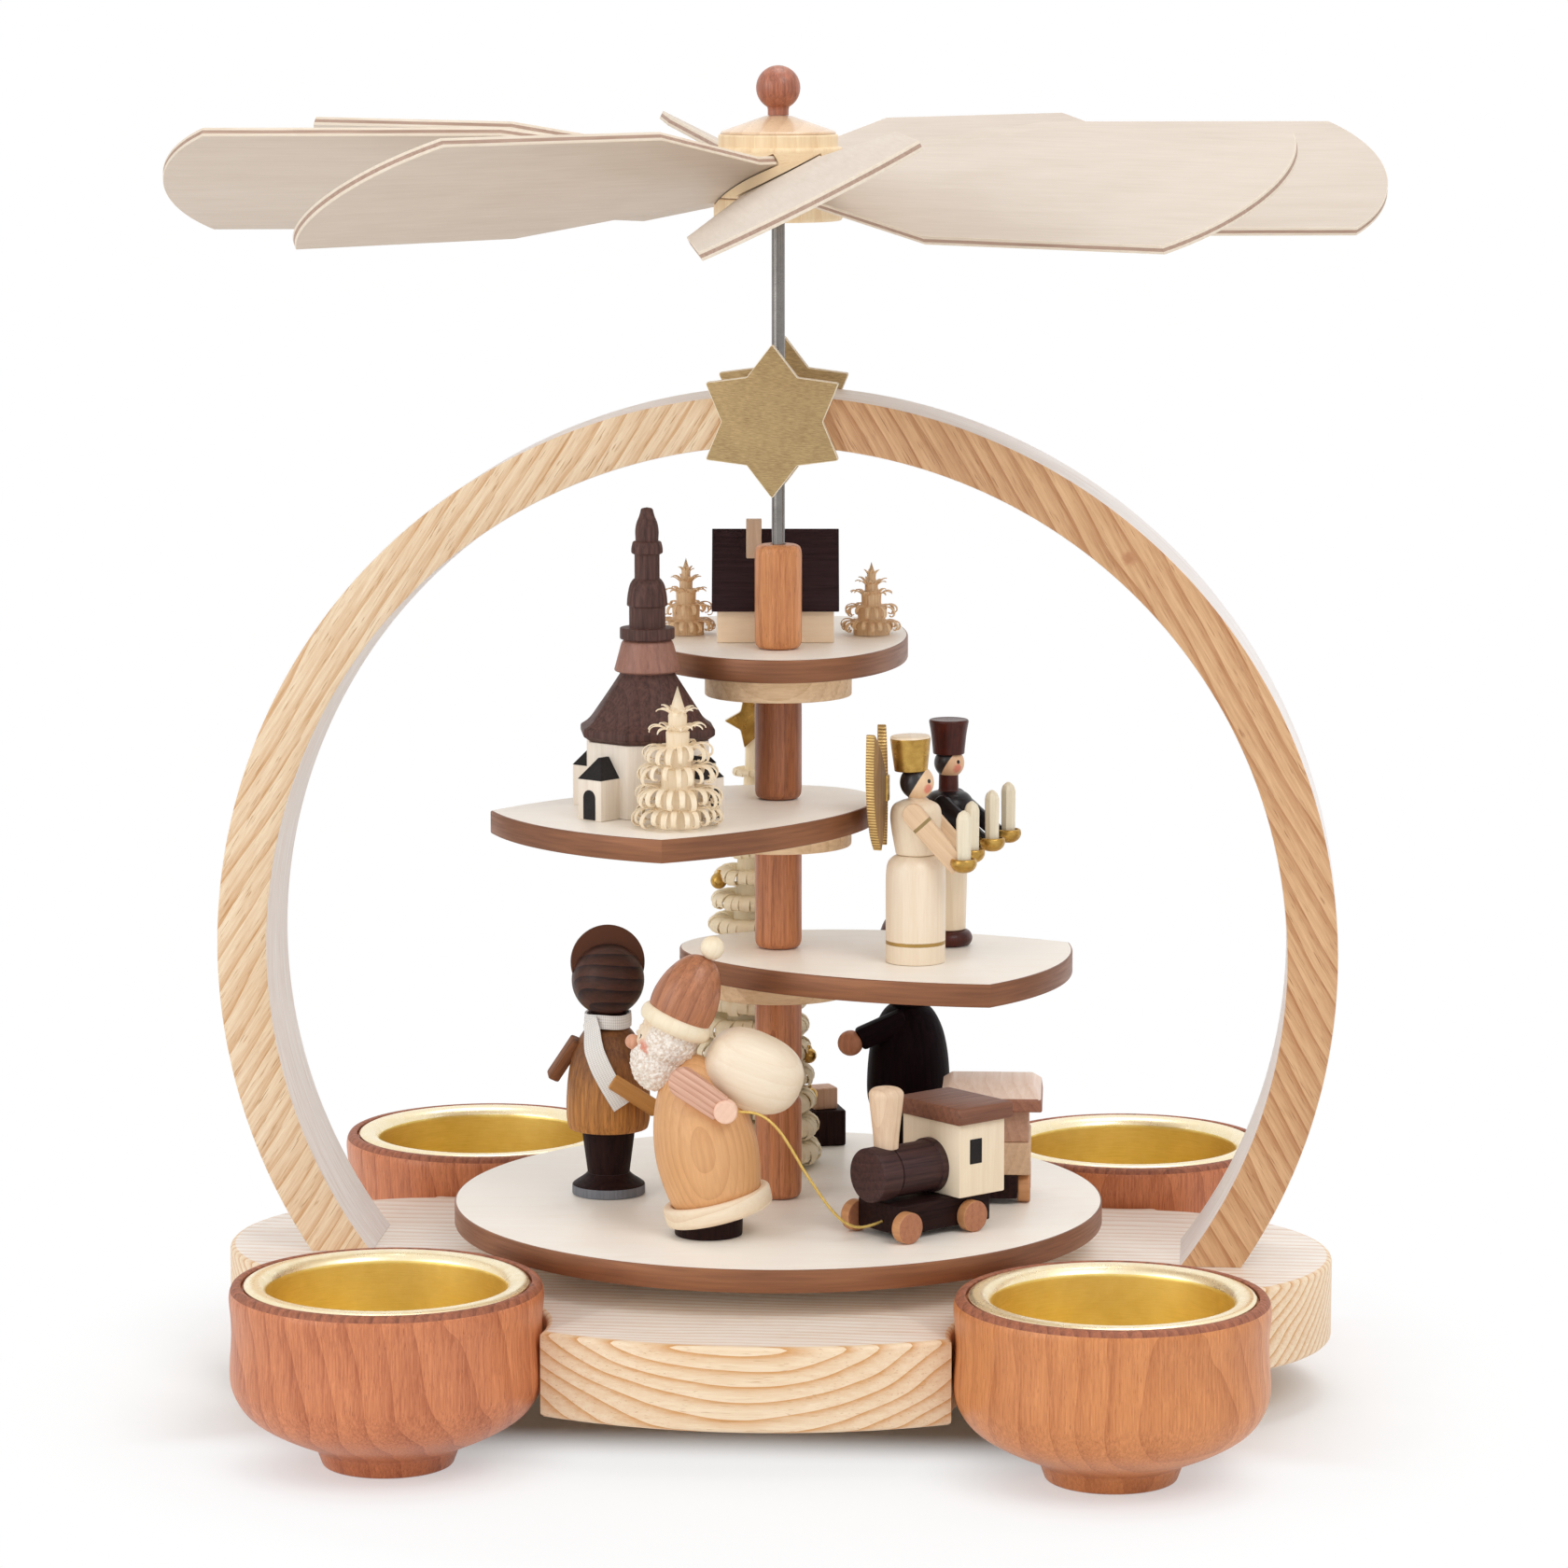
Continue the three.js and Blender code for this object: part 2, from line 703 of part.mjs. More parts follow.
function buildHouse(tier) {
  const { width, depth, wallHeight, roofRise, roofThickness } = house;
  const half = depth / 2;
  const walls = polygon([[-half, 0], [half, 0], [half, wallHeight], [0, wallHeight + roofRise],
    [-half, wallHeight]]);
  const wallBody = standing(walls, width, 1).rotateZ(Math.PI / 2);
  const slope = Math.atan2(roofRise, half);
  const lift = glueGap / Math.cos(slope);
  const thick = roofThickness / Math.cos(slope);
  const eave = half + house.eaveOverhang;
  const eaveDrop = house.eaveOverhang * Math.tan(slope);
  const roof = polygon([[eave, wallHeight - eaveDrop + lift], [eave, wallHeight - eaveDrop + lift + thick],
    [0, wallHeight + roofRise + lift + thick], [-eave, wallHeight - eaveDrop + lift + thick],
    [-eave, wallHeight - eaveDrop + lift], [0, wallHeight + roofRise + lift]]);
  const roofBody = standing(roof, width + 2 * house.roofOverhang, 1).rotateZ(Math.PI / 2);
  tier.add(onTier(named('house_walls', wallBody, birch, 0.6), house.place, fourthTierTop));
  tier.add(onTier(named('house_roof', roofBody, darkWood, 0.7), house.place, fourthTierTop));

  // The chimney stands on the front slope, near the ridge
  const nearRidge = 1.2;
  const farFromRidge = nearRidge + house.chimneyDeep;
  const roofAt = (y) => wallHeight + roofRise - y * Math.tan(slope) + lift + thick + 2 * lift;
  const top = wallHeight + roofRise + thick + house.chimneyTop;
  const side = polygon([[-farFromRidge, roofAt(farFromRidge)], [-nearRidge, roofAt(nearRidge)],
    [-nearRidge, top], [-farFromRidge, top]]);
  const chimney = standing(side, house.chimneyWide, 1).rotateZ(Math.PI / 2);
  chimney.translate(house.chimneyPlace, 0, 0);
  tier.add(onTier(named('house_chimney', chimney, birch, 0.6), house.place, fourthTierTop));
}

// A trunk with rings of curled shavings, each ring a small skirt
function smallTree({ height, radius, rings, trunk }) {
  const tip = height * 0.16;
  const pitch = (height - tip) / rings;
  const profile = [[0, 0], [radius * 0.7, 0]];
  for (let i = 0; i < rings; i += 1) {
    const reach = radius * (1 - (0.62 * i) / (rings - 1));
    const bottom = i * pitch;
    profile.push([reach, bottom + 0.3 * pitch], [reach * 0.9, bottom + 0.62 * pitch],
      [trunk + 0.5, bottom + 0.86 * pitch]);
  }
  profile.push([trunk * 0.8, height - tip], [0, height]);
  return turned(profile, tinyRound);
}

// The tall tree is a stack of round curled rings, with a star on its trunk and two gold balls
function starTree() {
  const { height, radius, rings, trunk } = tallTree;
  const pitch = height / rings;
  const reachOf = (i) => radius * Math.sqrt(1 - i / (rings + 0.6));
  const profile = [[0, 0], [radius * 0.85, 0]];
  for (let i = 0; i < rings; i += 1) {
    profile.push([reachOf(i), (i + 0.45) * pitch], [reachOf(i) * 0.75, (i + 0.98) * pitch]);
  }
  profile.push([trunk, height], [trunk, treeStar.centre], [0, treeStar.centre]);
  const corners = [];
  for (let i = 0; i < 10; i += 1) {
    const reach = i % 2 === 0 ? treeStar.radius : treeStar.radius * 0.55;
    const angle = rad(90 + treeStar.lean + 36 * i);
    corners.push([reach * Math.cos(angle), reach * Math.sin(angle)]);
  }
  const star = standing(polygon(corners), treeStar.thickness, 1).translate(0, -trunk, treeStar.centre);
  const balls = treeBalls.map(({ radius: size, ring, bearing }) => ball(size, tinyRound)
    .translate(reachOf(ring), 0, (ring + 0.45) * pitch).rotateZ(rad(bearing)));
  return shell(join(turned(profile, tinyRound + 2), star, ...balls));
}

function churchWalls() {
  const octagon = cylinder(church.wallRadius, church.wallHeight, 8).rotateZ(rad(22.5));
  const parts = [octagon];
  for (let i = 0; i < 4; i += 1) {
    const half = church.porchWidth / 2;
    const gable = polygon([[-half, 0], [half, 0], [half, church.porchHeight],
      [0, church.porchHeight + church.porchRoof], [-half, church.porchHeight]]);
    const porch = standing(gable, church.porchReach, 1).rotateZ(Math.PI / 2);
    parts.push(porch.translate(church.porchReach / 2, 0, 0).rotateZ(rad(90 * i)));
  }
  return shell(join(...parts));
}

// Conical roof, bell-shaped storey and steeple in one turned piece
function churchRoof() {
  const base = church.wallHeight + glueGap;
  const eave = base + 1.3;
  const shoulder = base + church.roofRise;
  const s = church.steepleHeight;
  const up = (share) => shoulder + share * s;
  return turned([
    [0, base],
    [church.roofRadius - 0.8, base],
    [church.roofRadius, eave],
    [church.roofTopRadius, shoulder],
    [church.roofTopRadius + 0.9, up(0.02)],
    [church.roofTopRadius - 0.7, up(0.2)],
    [church.roofTopRadius, up(0.21)],
    [church.roofTopRadius, up(0.28)],
    ...church.steeple.map(([radius, share]) => [radius, up(share)]),
    [0, up(1)],
  ], midRound);
}

// A candle in its small dish, held out in front of a figure that faces +X
function heldCandle(side, hands) {
  const dish = turned([[0, 0], [candle.cupRadius * 0.6, 0], [candle.cupRadius, candle.cupHeight * 0.45],
    [candle.cupRadius * 0.8, candle.cupHeight], [0, candle.cupHeight]], tinyRound);
  const tip = candle.cupHeight + candle.height;
  const wax = turned([[0, candle.cupHeight - 0.4], [candle.radius, candle.cupHeight - 0.4],
    [candle.radius, tip - 1.4], [0, tip]], tinyRound);
  return [dish, wax].map((piece) => piece.translate(hands.reach, side * hands.apart, hands.height));
}

// A straight sleeve between two places, square in section
function bar(start, end, wide, thick) {
  const run = new THREE.Vector3(...end).sub(new THREE.Vector3(...start));
  const piece = box(wide, thick, run.length());
  const upright = new THREE.Vector3(0, 0, 1);
  piece.applyQuaternion(new THREE.Quaternion().setFromUnitVectors(upright, run.normalize()));
  return piece.translate(...start);
}

// A candle bearer's sleeve, from the shoulder down to the dish
function candleSleeve(side, hands, shoulderHeight, shoulderOut) {
  const { start, end, width, thickness } = candleArm;
  return bar([start, side * shoulderOut, shoulderHeight],
    [hands.reach - end, side * hands.apart, hands.height + candleArm.lift], width, thickness);
}

function angelBody() {
  const { skirtRadius, skirtHeight, bustRadius, bustHeight, headRadius, crownRadius, crownHeight } = angel;
  const shoulder = skirtHeight + bustHeight;
  const headTop = shoulder + 2 * headRadius - 0.6;
  const body = turned([
    [0, 0],
    [skirtRadius, 0],
    [skirtRadius, skirtHeight * 0.82],
    [skirtRadius * 0.92, skirtHeight * 0.93],
    [bustRadius * 0.78, skirtHeight],
    [bustRadius * 0.9, skirtHeight + bustHeight * 0.25],
    [bustRadius, skirtHeight + bustHeight * 0.62],
    [bustRadius * 0.72, skirtHeight + bustHeight * 0.92],
    [1.4, shoulder],
    [headRadius, shoulder + headRadius * 0.95],
    [crownRadius * 0.82, headTop - 0.8],
    [crownRadius, headTop - 0.8 + crownHeight],
    [0, headTop - 0.8 + crownHeight],
  ], smallRound);
  const arms = [-1, 1].flatMap((side) => [...heldCandle(side, angel.hands),
    candleSleeve(side, angel.hands, shoulder - 2.6, bustRadius - 0.6)]);
  return shell(join(body, ...arms));
}

// Two flat wings behind the angel's back, spread like a V
function angelWings() {
  const { span, height, thickness } = wing;
  const outline = new THREE.Shape();
  outline.moveTo(0.2, height * 0.42);
  outline.quadraticCurveTo(span * 0.3, height * 0.1, span * 0.45, 0);
  outline.quadraticCurveTo(span * 1.15, height * 0.45, span, height);
  outline.quadraticCurveTo(span * 0.45, height * 0.9, 0.2, height * 0.6);
  const pair = [1, -1].map((side) => {
    const plate = standing(outline, thickness, 5).rotateZ(Math.PI / 2);
    if (side < 0) plate.applyMatrix4(new THREE.Matrix4().makeRotationX(Math.PI)).translate(0, 0, height);
    return plate.rotateZ(rad(side * wing.spread));
  });
  const spine = box(thickness + 0.6, 2.4, height * 0.22, height * 0.4);
  const back = angel.bustRadius + (thickness + 0.6) / 2 + glueGap;
  return shell(join(pair[0], pair[1], spine)).translate(-back, 0, wing.bottom);
}

function minerBody() {
  const { shoeRadius, shoeHeight, legRadius, legHeight, coatRadius, coatHeight, headRadius } = miner;
  const coatBottom = shoeHeight + legHeight;
  const shoulder = coatBottom + coatHeight;
  const headTop = shoulder + 2 + 2 * headRadius;
  const body = turned([
    [0, 0],
    [shoeRadius * 0.9, 0],
    [shoeRadius, shoeHeight * 0.45],
    [shoeRadius * 0.8, shoeHeight],
    [legRadius * 0.92, shoeHeight + 0.1],
    [legRadius, coatBottom],
    [coatRadius * 0.86, coatBottom + 0.3],
    [coatRadius, coatBottom + coatHeight * 0.6],
    [coatRadius * 0.8, shoulder - 0.6],
    [1.6, shoulder],
    [1.6, shoulder + 2],
    [headRadius, shoulder + 2 + headRadius * 0.9],
    [miner.hatRadius * 0.86, headTop - 1],
    [miner.hatRadius, headTop - 1 + miner.hatHeight],
    [0, headTop - 1 + miner.hatHeight],
  ], smallRound);
  const arms = [-1, 1].flatMap((side) => [...heldCandle(side, miner.hands),
    candleSleeve(side, miner.hands, shoulder - 2.4, coatRadius - 0.8)]);
  return shell(join(body, ...arms));
}

// The bearer's leaning body, without its sack; grown a little where the sack is cut to fit it
function bearerParts(grow = 0) {
  const b = bearer;
  const foot = cylinder(b.footRadius + grow, b.footHeight + 1, smallRound);
  const hem = turned([[0, -b.hemThickness / 2], [b.hemRadius - 0.8, -b.hemThickness / 2],
    [b.hemRadius, 0], [b.hemRadius - 0.8, b.hemThickness / 2], [0, b.hemThickness / 2]], smallRound + 4);
  hem.rotateY(rad(-b.hemTilt)).translate(b.hemPlace[0], 0, b.hemPlace[1]);
  const r = b.bodyRadius + grow;
  const l = b.bodyLength;
  const body = turned([[0, 0], [r * 0.86, 0], [r * 0.97, 0.18 * l], [r, 0.35 * l], [r * 0.93, 0.55 * l],
    [r * 0.78, 0.75 * l], [r * 0.5, 0.92 * l], [0, l + grow]], smallRound + 2);
  body.rotateY(rad(-b.lean)).translate(b.bodyPlace[0], 0, b.bodyPlace[1]);
  const head = ball(b.headRadius + grow, smallRound).translate(b.headPlace[0], 0, b.headPlace[1]);
  const beard = ball(b.beardRadius + grow, smallRound).scale(1.05, 0.95, 1.15);
  beard.translate(b.beardPlace[0], 0, b.beardPlace[1]);
  const nose = ball(b.noseRadius, tinyRound).translate(b.nosePlace[0], 0, b.nosePlace[1]);
  const brim = turned([[0, -b.brimThickness / 2], [b.brimRadius - 0.9, -b.brimThickness / 2],
    [b.brimRadius, 0], [b.brimRadius - 0.9, b.brimThickness / 2], [0, b.brimThickness / 2]], smallRound + 2);
  brim.rotateY(rad(b.hatTilt)).translate(b.brimPlace[0], 0, b.brimPlace[1]);
  const h = b.hatRadius;
  const hat = turned([[0, 0], [h, 0], [h * 1.02, 0.3 * b.hatLength], [h * 0.85, 0.62 * b.hatLength],
    [h * 0.5, 0.88 * b.hatLength], [0, b.hatLength]], smallRound);
  hat.rotateY(rad(b.hatTilt)).translate(b.hatPlace[0], 0, b.hatPlace[1]);
  const pomReach = b.hatLength + b.pomRadius * 0.7;
  const pom = ball(b.pomRadius, tinyRound);
  pom.translate(0, 0, pomReach).rotateY(rad(b.hatTilt)).translate(b.hatPlace[0], 0, b.hatPlace[1]);
  const armStart = [b.armStart[0], -b.armSide, b.armStart[1]];
  const armEnd = [b.armEnd[0], -b.armSide, b.armEnd[1]];
  const arm = bar(armStart, armEnd, b.armWidth, b.armThickness);
  const hand = cylinder(b.handRadius, b.handLength, tinyRound + 2).rotateX(Math.PI / 2);
  hand.translate(b.handPlace[0], -b.handSide, b.handPlace[1]);
  return [foot, hem, body, head, beard, nose, brim, hat, pom, arm, hand];
}

function bearerBody() {
  return shell(join(...bearerParts()));
}

function bearerSack() {
  const b = bearer;
  const sack = ball(b.sackRadius, smallRound + 2).scale(b.sackLong / b.sackRadius, 1, 1);
  sack.rotateY(rad(b.sackTilt)).translate(b.sackPlace[0], 0, b.sackPlace[1]);
  return shell(solid(sack).subtract(join(...bearerParts(fitGap))));
}

// A standing figure: flared foot, tapered legs, barrel coat, round head with a cap, facing +X
function standingFigure(sizes, arms) {
  const f = figureHeights;
  const coat = sizes.coatRadius;
  const length = f.coatTop - f.coatBottom;
  const headCentre = f.neckTop + sizes.headRadius * 0.93;
  const body = turned([
    [0, 0],
    [sizes.footRadius, 0],
    [sizes.footRadius, f.foot],
    [sizes.footRadius * 0.65, f.ankle],
    [sizes.footRadius * 0.57, f.ankle + 0.3],
    [coat * 0.64, f.coatBottom],
    [coat * 0.93, f.coatBottom],
    [coat, f.coatBottom + 0.12 * length],
    [coat * 0.98, f.coatBottom + 0.4 * length],
    [coat * 0.82, f.coatBottom + 0.78 * length],
    [coat * 0.5, f.coatTop],
    [f.neckRadius, f.coatTop + 0.2],
    [f.neckRadius, f.neckTop],
    [0, f.neckTop],
  ], smallRound);
  const head = ball(sizes.headRadius, smallRound).translate(0, 0, headCentre);
  const capBottom = headCentre + 1.2;
  const capHeight = f.top - capBottom;
  const cap = turned([[0, 0], [sizes.capRadius, 0], [sizes.capRadius * 1.01, capHeight * 0.45],
    [sizes.capRadius * 0.76, capHeight * 0.85], [0, capHeight]], smallRound);
  cap.translate(0, 0, capBottom);
  return shell(join(body, head, cap, ...arms));
}

function sleeveOf({ start, end, width, thickness }) {
  return bar(start, end, width, thickness);
}

function childBody() {
  return standingFigure(child, [child.leftSleeve, child.rightSleeve].map(sleeveOf));
}

function darkBody() {
  const hand = ball(darkFigure.handRadius, tinyRound).translate(...darkFigure.handPlace);
  const sleeves = [darkFigure.frontSleeve, darkFigure.sideSleeve].map(sleeveOf);
  return standingFigure(darkFigure, [...sleeves, hand]);
}

function presentStack() {
  const big = box(presents.bigWide, presents.bigDeep, presents.bigHeight);
  const { smallWide, smallHeight, bigHeight } = presents;
  const small = box(smallWide, smallWide, smallHeight + 0.2, bigHeight - 0.2);
  return shell(join(big, small.rotateZ(rad(8))));
}

// Four wheels beside a chassis, the axles along Y
function wheels(radius, thickness, base, width) {
  const places = [];
  for (const x of [-base / 2, base / 2]) {
    for (const side of [-1, 1]) {
      const wheel = cylinder(radius, thickness + 0.2, smallRound).rotateX(Math.PI / 2);
      places.push(wheel.translate(x, side * (width / 2 + thickness / 2) + thickness / 2, radius));
    }
  }
  return places;
}

// The locomotive's chassis with its wheels and front hook, heading along +X
function locoChassis() {
  const l = loco;
  const length = l.chassisFront + l.chassisRear;
  const frame = box(length, l.chassisWidth, l.chassisTop - l.chassisBottom, l.chassisBottom);
  frame.translate((l.chassisFront - l.chassisRear) / 2, 0, 0);
  const set = wheels(l.wheelRadius, l.wheelThickness, l.wheelBase, l.chassisWidth);
  return shell(join(frame, ...set));
}

// Boiler with its two bands, chimney, cab and the cab's roof slab
function locoBody() {
  const l = loco;
  const r = l.boilerRadius;
  const axis = l.chassisTop + glueGap + r + 0.2;
  const length = l.boilerFront - l.cabFront;
  const boiler = turned([[0, -1], [r + 0.2, -1], [r + 0.2, 1.2], [r - 0.3, 1.4], [r - 0.3, length - 2.6],
    [r, length - 2.4], [r, length], [0, length]], midRound);
  boiler.rotateY(Math.PI / 2).translate(l.cabFront, 0, axis);
  const chimney = turned([[0, -1.5], [l.chimneyFoot, -1.5], [l.chimneyRadius, l.chimneyHeight - 1.4],
    [l.chimneyRadius - 0.5, l.chimneyHeight], [0, l.chimneyHeight]], smallRound);
  chimney.translate(l.chimneyPlace, 0, axis + r);
  const depth = l.cabFront - l.cabRear;
  const cabBottom = l.chassisTop + glueGap;
  const cab = box(depth, l.cabWidth, l.cabHeight, cabBottom).translate((l.cabFront + l.cabRear) / 2, 0, 0);
  const slab = box(depth + 2 * l.roofOverhang, l.cabWidth + 2 * l.roofOverhang, l.roofThickness + 0.2,
    cabBottom + l.cabHeight - 0.2).translate((l.cabFront + l.cabRear) / 2, 0, 0);
  return shell(join(boiler, chimney, cab, slab));
}

// A block whose top is smaller than its foot by an inset at each end and each side
function tapered(long, wide, high, bottom, endInset, sideInset) {
  const block = box(long, wide, high, bottom);
  const corners = block.attributes.position;
  for (let i = 0; i < corners.count; i += 1) {
    if (corners.getZ(i) > bottom + high / 2) {
      corners.setX(i, corners.getX(i) * (1 - (2 * endInset) / long));
      corners.setY(i, corners.getY(i) * (1 - (2 * sideInset) / wide));
    }
  }
  return block;
}

function wagonBody() {
  const w = wagon;
  const between = w.width - 2 * w.wheelThickness;
  const frame = box(w.length, between, w.chassisTop - w.chassisBottom + 0.3, w.chassisBottom);
  const set = wheels(w.wheelRadius, w.wheelThickness, w.wheelBase, between);
  const lower = box(w.length, w.width, w.lowerTop - w.chassisTop - 0.3, w.chassisTop + 0.3);
  const upper = box(w.length - 0.6, w.width - 0.6, w.upperTop - w.lowerTop + 0.4, w.lowerTop - 0.2);
  const roofLength = w.length + 2 * w.roofOverhang;
  const slab = box(roofLength, w.roofWidth, w.roofSlab, w.upperTop);
  const roofRise = w.roofTop - w.roofSlab;
  const roofFoot = w.upperTop + w.roofSlab;
  const roof = tapered(roofLength, w.roofWidth, roofRise, roofFoot, w.roofEndSlope, w.roofSideSlope);
  return shell(join(frame, ...set, lower, upper, slab, roof));
}

function towCord() {
  const points = cordPoints.map(([x, y, z]) => new THREE.Vector3(x, y, z + lowTierTop));
  const section = new THREE.Shape().absarc(0, 0, cordDiameter / 2, 0, 2 * Math.PI, false);
  return new THREE.ExtrudeGeometry(section, {
    steps: 26,
    curveSegments: 4,
    bevelEnabled: false,
    extrudePath: new THREE.CatmullRomCurve3(points, false, 'centripetal'),
  });
}

function buildRotor() {
  const rotor = new THREE.Group();
  rotor.rotation.z = rad(rotorTurn);
  rotor.add(named('spindle', spindle(), steel, 0.3, 1));
  rotor.add(named('fan_hub', fanHub(), maple, 0.5));
  rotor.add(named('hub_cap', hubCap(), maple, 0.2));
  rotor.add(named('finial_ball', finialBall(), reddish, 0.45));
  for (let i = 0; i < bladeCount; i += 1) {
    const blade = named(`fan_blade_${i + 1}`, fanBlade(), birch, 0.6);
    const holder = new THREE.Group();
    blade.rotation.x = rad(bladePitch);
    holder.add(blade);
    holder.position.z = bladeHeight;
    holder.rotation.z = rad(fanPhase + (360 / bladeCount) * i);
    rotor.add(holder);
  }

  const postBottoms = {
    post_lower: lowTierTop,
    post_lower_second: lowTierTop + glueGap + postLength,
    post_middle: secondTierTop,
    post_upper: thirdTierTop,
    post_top: fourthTierTop,
  };
  for (const [name, bottom] of Object.entries(postBottoms)) {
    const piece = named(name, post(), reddish, 0.45);
    piece.position.z = bottom + glueGap;
    rotor.add(piece);
  }

  const round = roundBoard(roundTierRadius, tierThickness, bigRound, tierBevel);
  const lowTier = named('tier_1', round, birch, 0.6);
  lowTier.position.z = lowTierTop - tierThickness;
  rotor.add(lowTier);
  const petals = [[2, secondTierTop, tierTwoAngle], [3, thirdTierTop, tierThreeAngle],
    [4, fourthTierTop, tierFourAngle]];
  for (const [number, top, angle] of petals) {
    const tier = named(`tier_${number}`, petalBoard(), birch, 0.6);
    tier.position.z = top - tierThickness;
    tier.rotation.z = rad(angle);
    const disc = roundBoard(washerRadius, washerThickness, midRound + 4);
    const washer = named(`washer_${number}`, disc, birch, 0.6);
    washer.position.z = top - tierThickness - glueGap - washerThickness;
    rotor.add(tier, washer);
  }

  buildHouse(rotor);
  rotor.add(onTier(named('small_tree_right', smallTree(rightSmallTree), cream, 0.7), rightSmallTree.place,
    fourthTierTop));
  rotor.add(onTier(named('small_tree_left', smallTree(leftSmallTree), cream, 0.7), leftSmallTree.place,
    fourthTierTop));
  rotor.add(onTier(named('church_walls', churchWalls(), birch, 0.6),
    church.place, thirdTierTop, church.turn));
  rotor.add(onTier(named('church_roof', churchRoof(), darkWood, 0.6), church.place, thirdTierTop));
  rotor.add(onTier(named('front_tree', smallTree(frontTree), cream, 0.7), frontTree.place, thirdTierTop));
  rotor.add(onTier(named('angel', angelBody(), cream, 0.5), angel.place, secondTierTop, angel.facing));
  rotor.add(onTier(named('angel_wings', angelWings(), gold, 0.4, 0.6),
    angel.place, secondTierTop, angel.facing));
  rotor.add(onTier(named('miner', minerBody(), darkWood, 0.4), miner.place, secondTierTop, miner.facing));
  rotor.add(onTier(named('gift_bearer', bearerBody(), 0xcf9f6b, 0.5), bearer.place, lowTierTop));
  rotor.add(onTier(named('gift_sack', bearerSack(), cream, 0.5), bearer.place, lowTierTop));
  rotor.add(onTier(named('child_figure', childBody(), 0x8a5a2c, 0.6), child.place, lowTierTop, child.turn));
  rotor.add(onTier(named('dark_figure', darkBody(), darkWood, 0.6),
    darkFigure.place, lowTierTop, darkFigure.turn));
  rotor.add(onTier(named('presents', presentStack(), darkWood, 0.6),
    presents.place, lowTierTop, presents.turn));
  rotor.add(onTier(named('loco_chassis', locoChassis(), darkWood, 0.6),
    loco.place, lowTierTop, loco.heading));
  rotor.add(onTier(named('loco_body', locoBody(), 0xe8ddc2, 0.6), loco.place, lowTierTop, loco.heading));
  rotor.add(onTier(named('wagon', wagonBody(), 0xb98a63, 0.6), wagon.place, lowTierTop, wagon.heading));
  rotor.add(onTier(named('tall_tree', starTree(), cream, 0.7), tallTree.place, lowTierTop));
  rotor.add(named('tow_cord', towCord(), gold, 0.35, 0.8));
  return rotor;
}

pyramid.add(buildStand());
pyramid.add(buildRotor());

export default pyramid;
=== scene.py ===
import math
import random

import bmesh
import bpy
from mathutils import Matrix, Vector, noise


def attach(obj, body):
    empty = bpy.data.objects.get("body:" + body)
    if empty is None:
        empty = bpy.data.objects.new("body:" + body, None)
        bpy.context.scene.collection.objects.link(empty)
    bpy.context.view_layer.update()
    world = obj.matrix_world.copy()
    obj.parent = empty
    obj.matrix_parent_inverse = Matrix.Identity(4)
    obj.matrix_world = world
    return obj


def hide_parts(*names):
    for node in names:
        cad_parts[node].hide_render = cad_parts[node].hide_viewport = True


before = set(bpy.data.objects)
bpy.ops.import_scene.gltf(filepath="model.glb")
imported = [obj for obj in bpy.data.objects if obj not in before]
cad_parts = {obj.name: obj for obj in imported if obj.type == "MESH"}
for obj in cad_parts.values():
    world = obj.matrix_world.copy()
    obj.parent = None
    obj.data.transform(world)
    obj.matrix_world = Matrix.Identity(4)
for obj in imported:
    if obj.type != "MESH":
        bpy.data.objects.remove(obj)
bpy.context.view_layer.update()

MM = 0.001
GLUE = 0.05
ROTOR_TURN = 4.65
TIER_TOPS = {1: 32.8, 2: 77.4, 3: 103.75, 4: 130.1}

CAMERA_AZIMUTH, CAMERA_ELEVATION = 4.65, 8.2
CAMERA_AIM, CAMERA_DISTANCE, CAMERA_LENS = (0.001, 0, 0.1063), 0.977, 128.57


# Camera

def link(name, data):
    made = bpy.data.objects.new(name, data)
    bpy.context.scene.collection.objects.link(made)
    return made


def place_facing(piece, place, direction):
    piece.location = place
    piece.rotation_mode = "QUATERNION"
    piece.rotation_quaternion = direction.to_track_quat("-Z", "Y")


def aim_camera():
    azimuth, elevation = math.radians(CAMERA_AZIMUTH), math.radians(CAMERA_ELEVATION)
    back = Vector((math.sin(azimuth) * math.cos(elevation), -math.cos(azimuth) * math.cos(elevation),
                   math.sin(elevation)))
    data = bpy.data.cameras.new("camera")
    data.sensor_width, data.lens = 36, CAMERA_LENS
    data.clip_start, data.clip_end = 0.02, 20
    camera = link("camera", data)
    place_facing(camera, Vector(CAMERA_AIM) + back * CAMERA_DISTANCE, -back)
    bpy.context.scene.camera = camera


aim_camera()


# Places: turn and shift in degrees and millimetres

def at(x=0, y=0, z=0, turn=0):
    return Matrix.Translation((x, y, z)) @ tilt(turn, "Z")


def tilt(degrees, axis="Y"):
    return Matrix.Rotation(math.radians(degrees), 4, axis)


ROTOR = at(turn=ROTOR_TURN)
GRAIN_ALONG_X = Matrix(((0, 1, 0, 0), (0, 0, 1, 0), (1, 0, 0, 0), (0, 0, 0, 1)))


def on_tier(tier, x, y, turn=0):
    return ROTOR @ at(x, y, TIER_TOPS[tier] + GLUE, turn)


def polar(radius, degrees):
    return radius * math.cos(math.radians(degrees)), radius * math.sin(math.radians(degrees))


# Forms: points, faces, a tone for each face, and each point's place in the stock, whose grain runs along Z

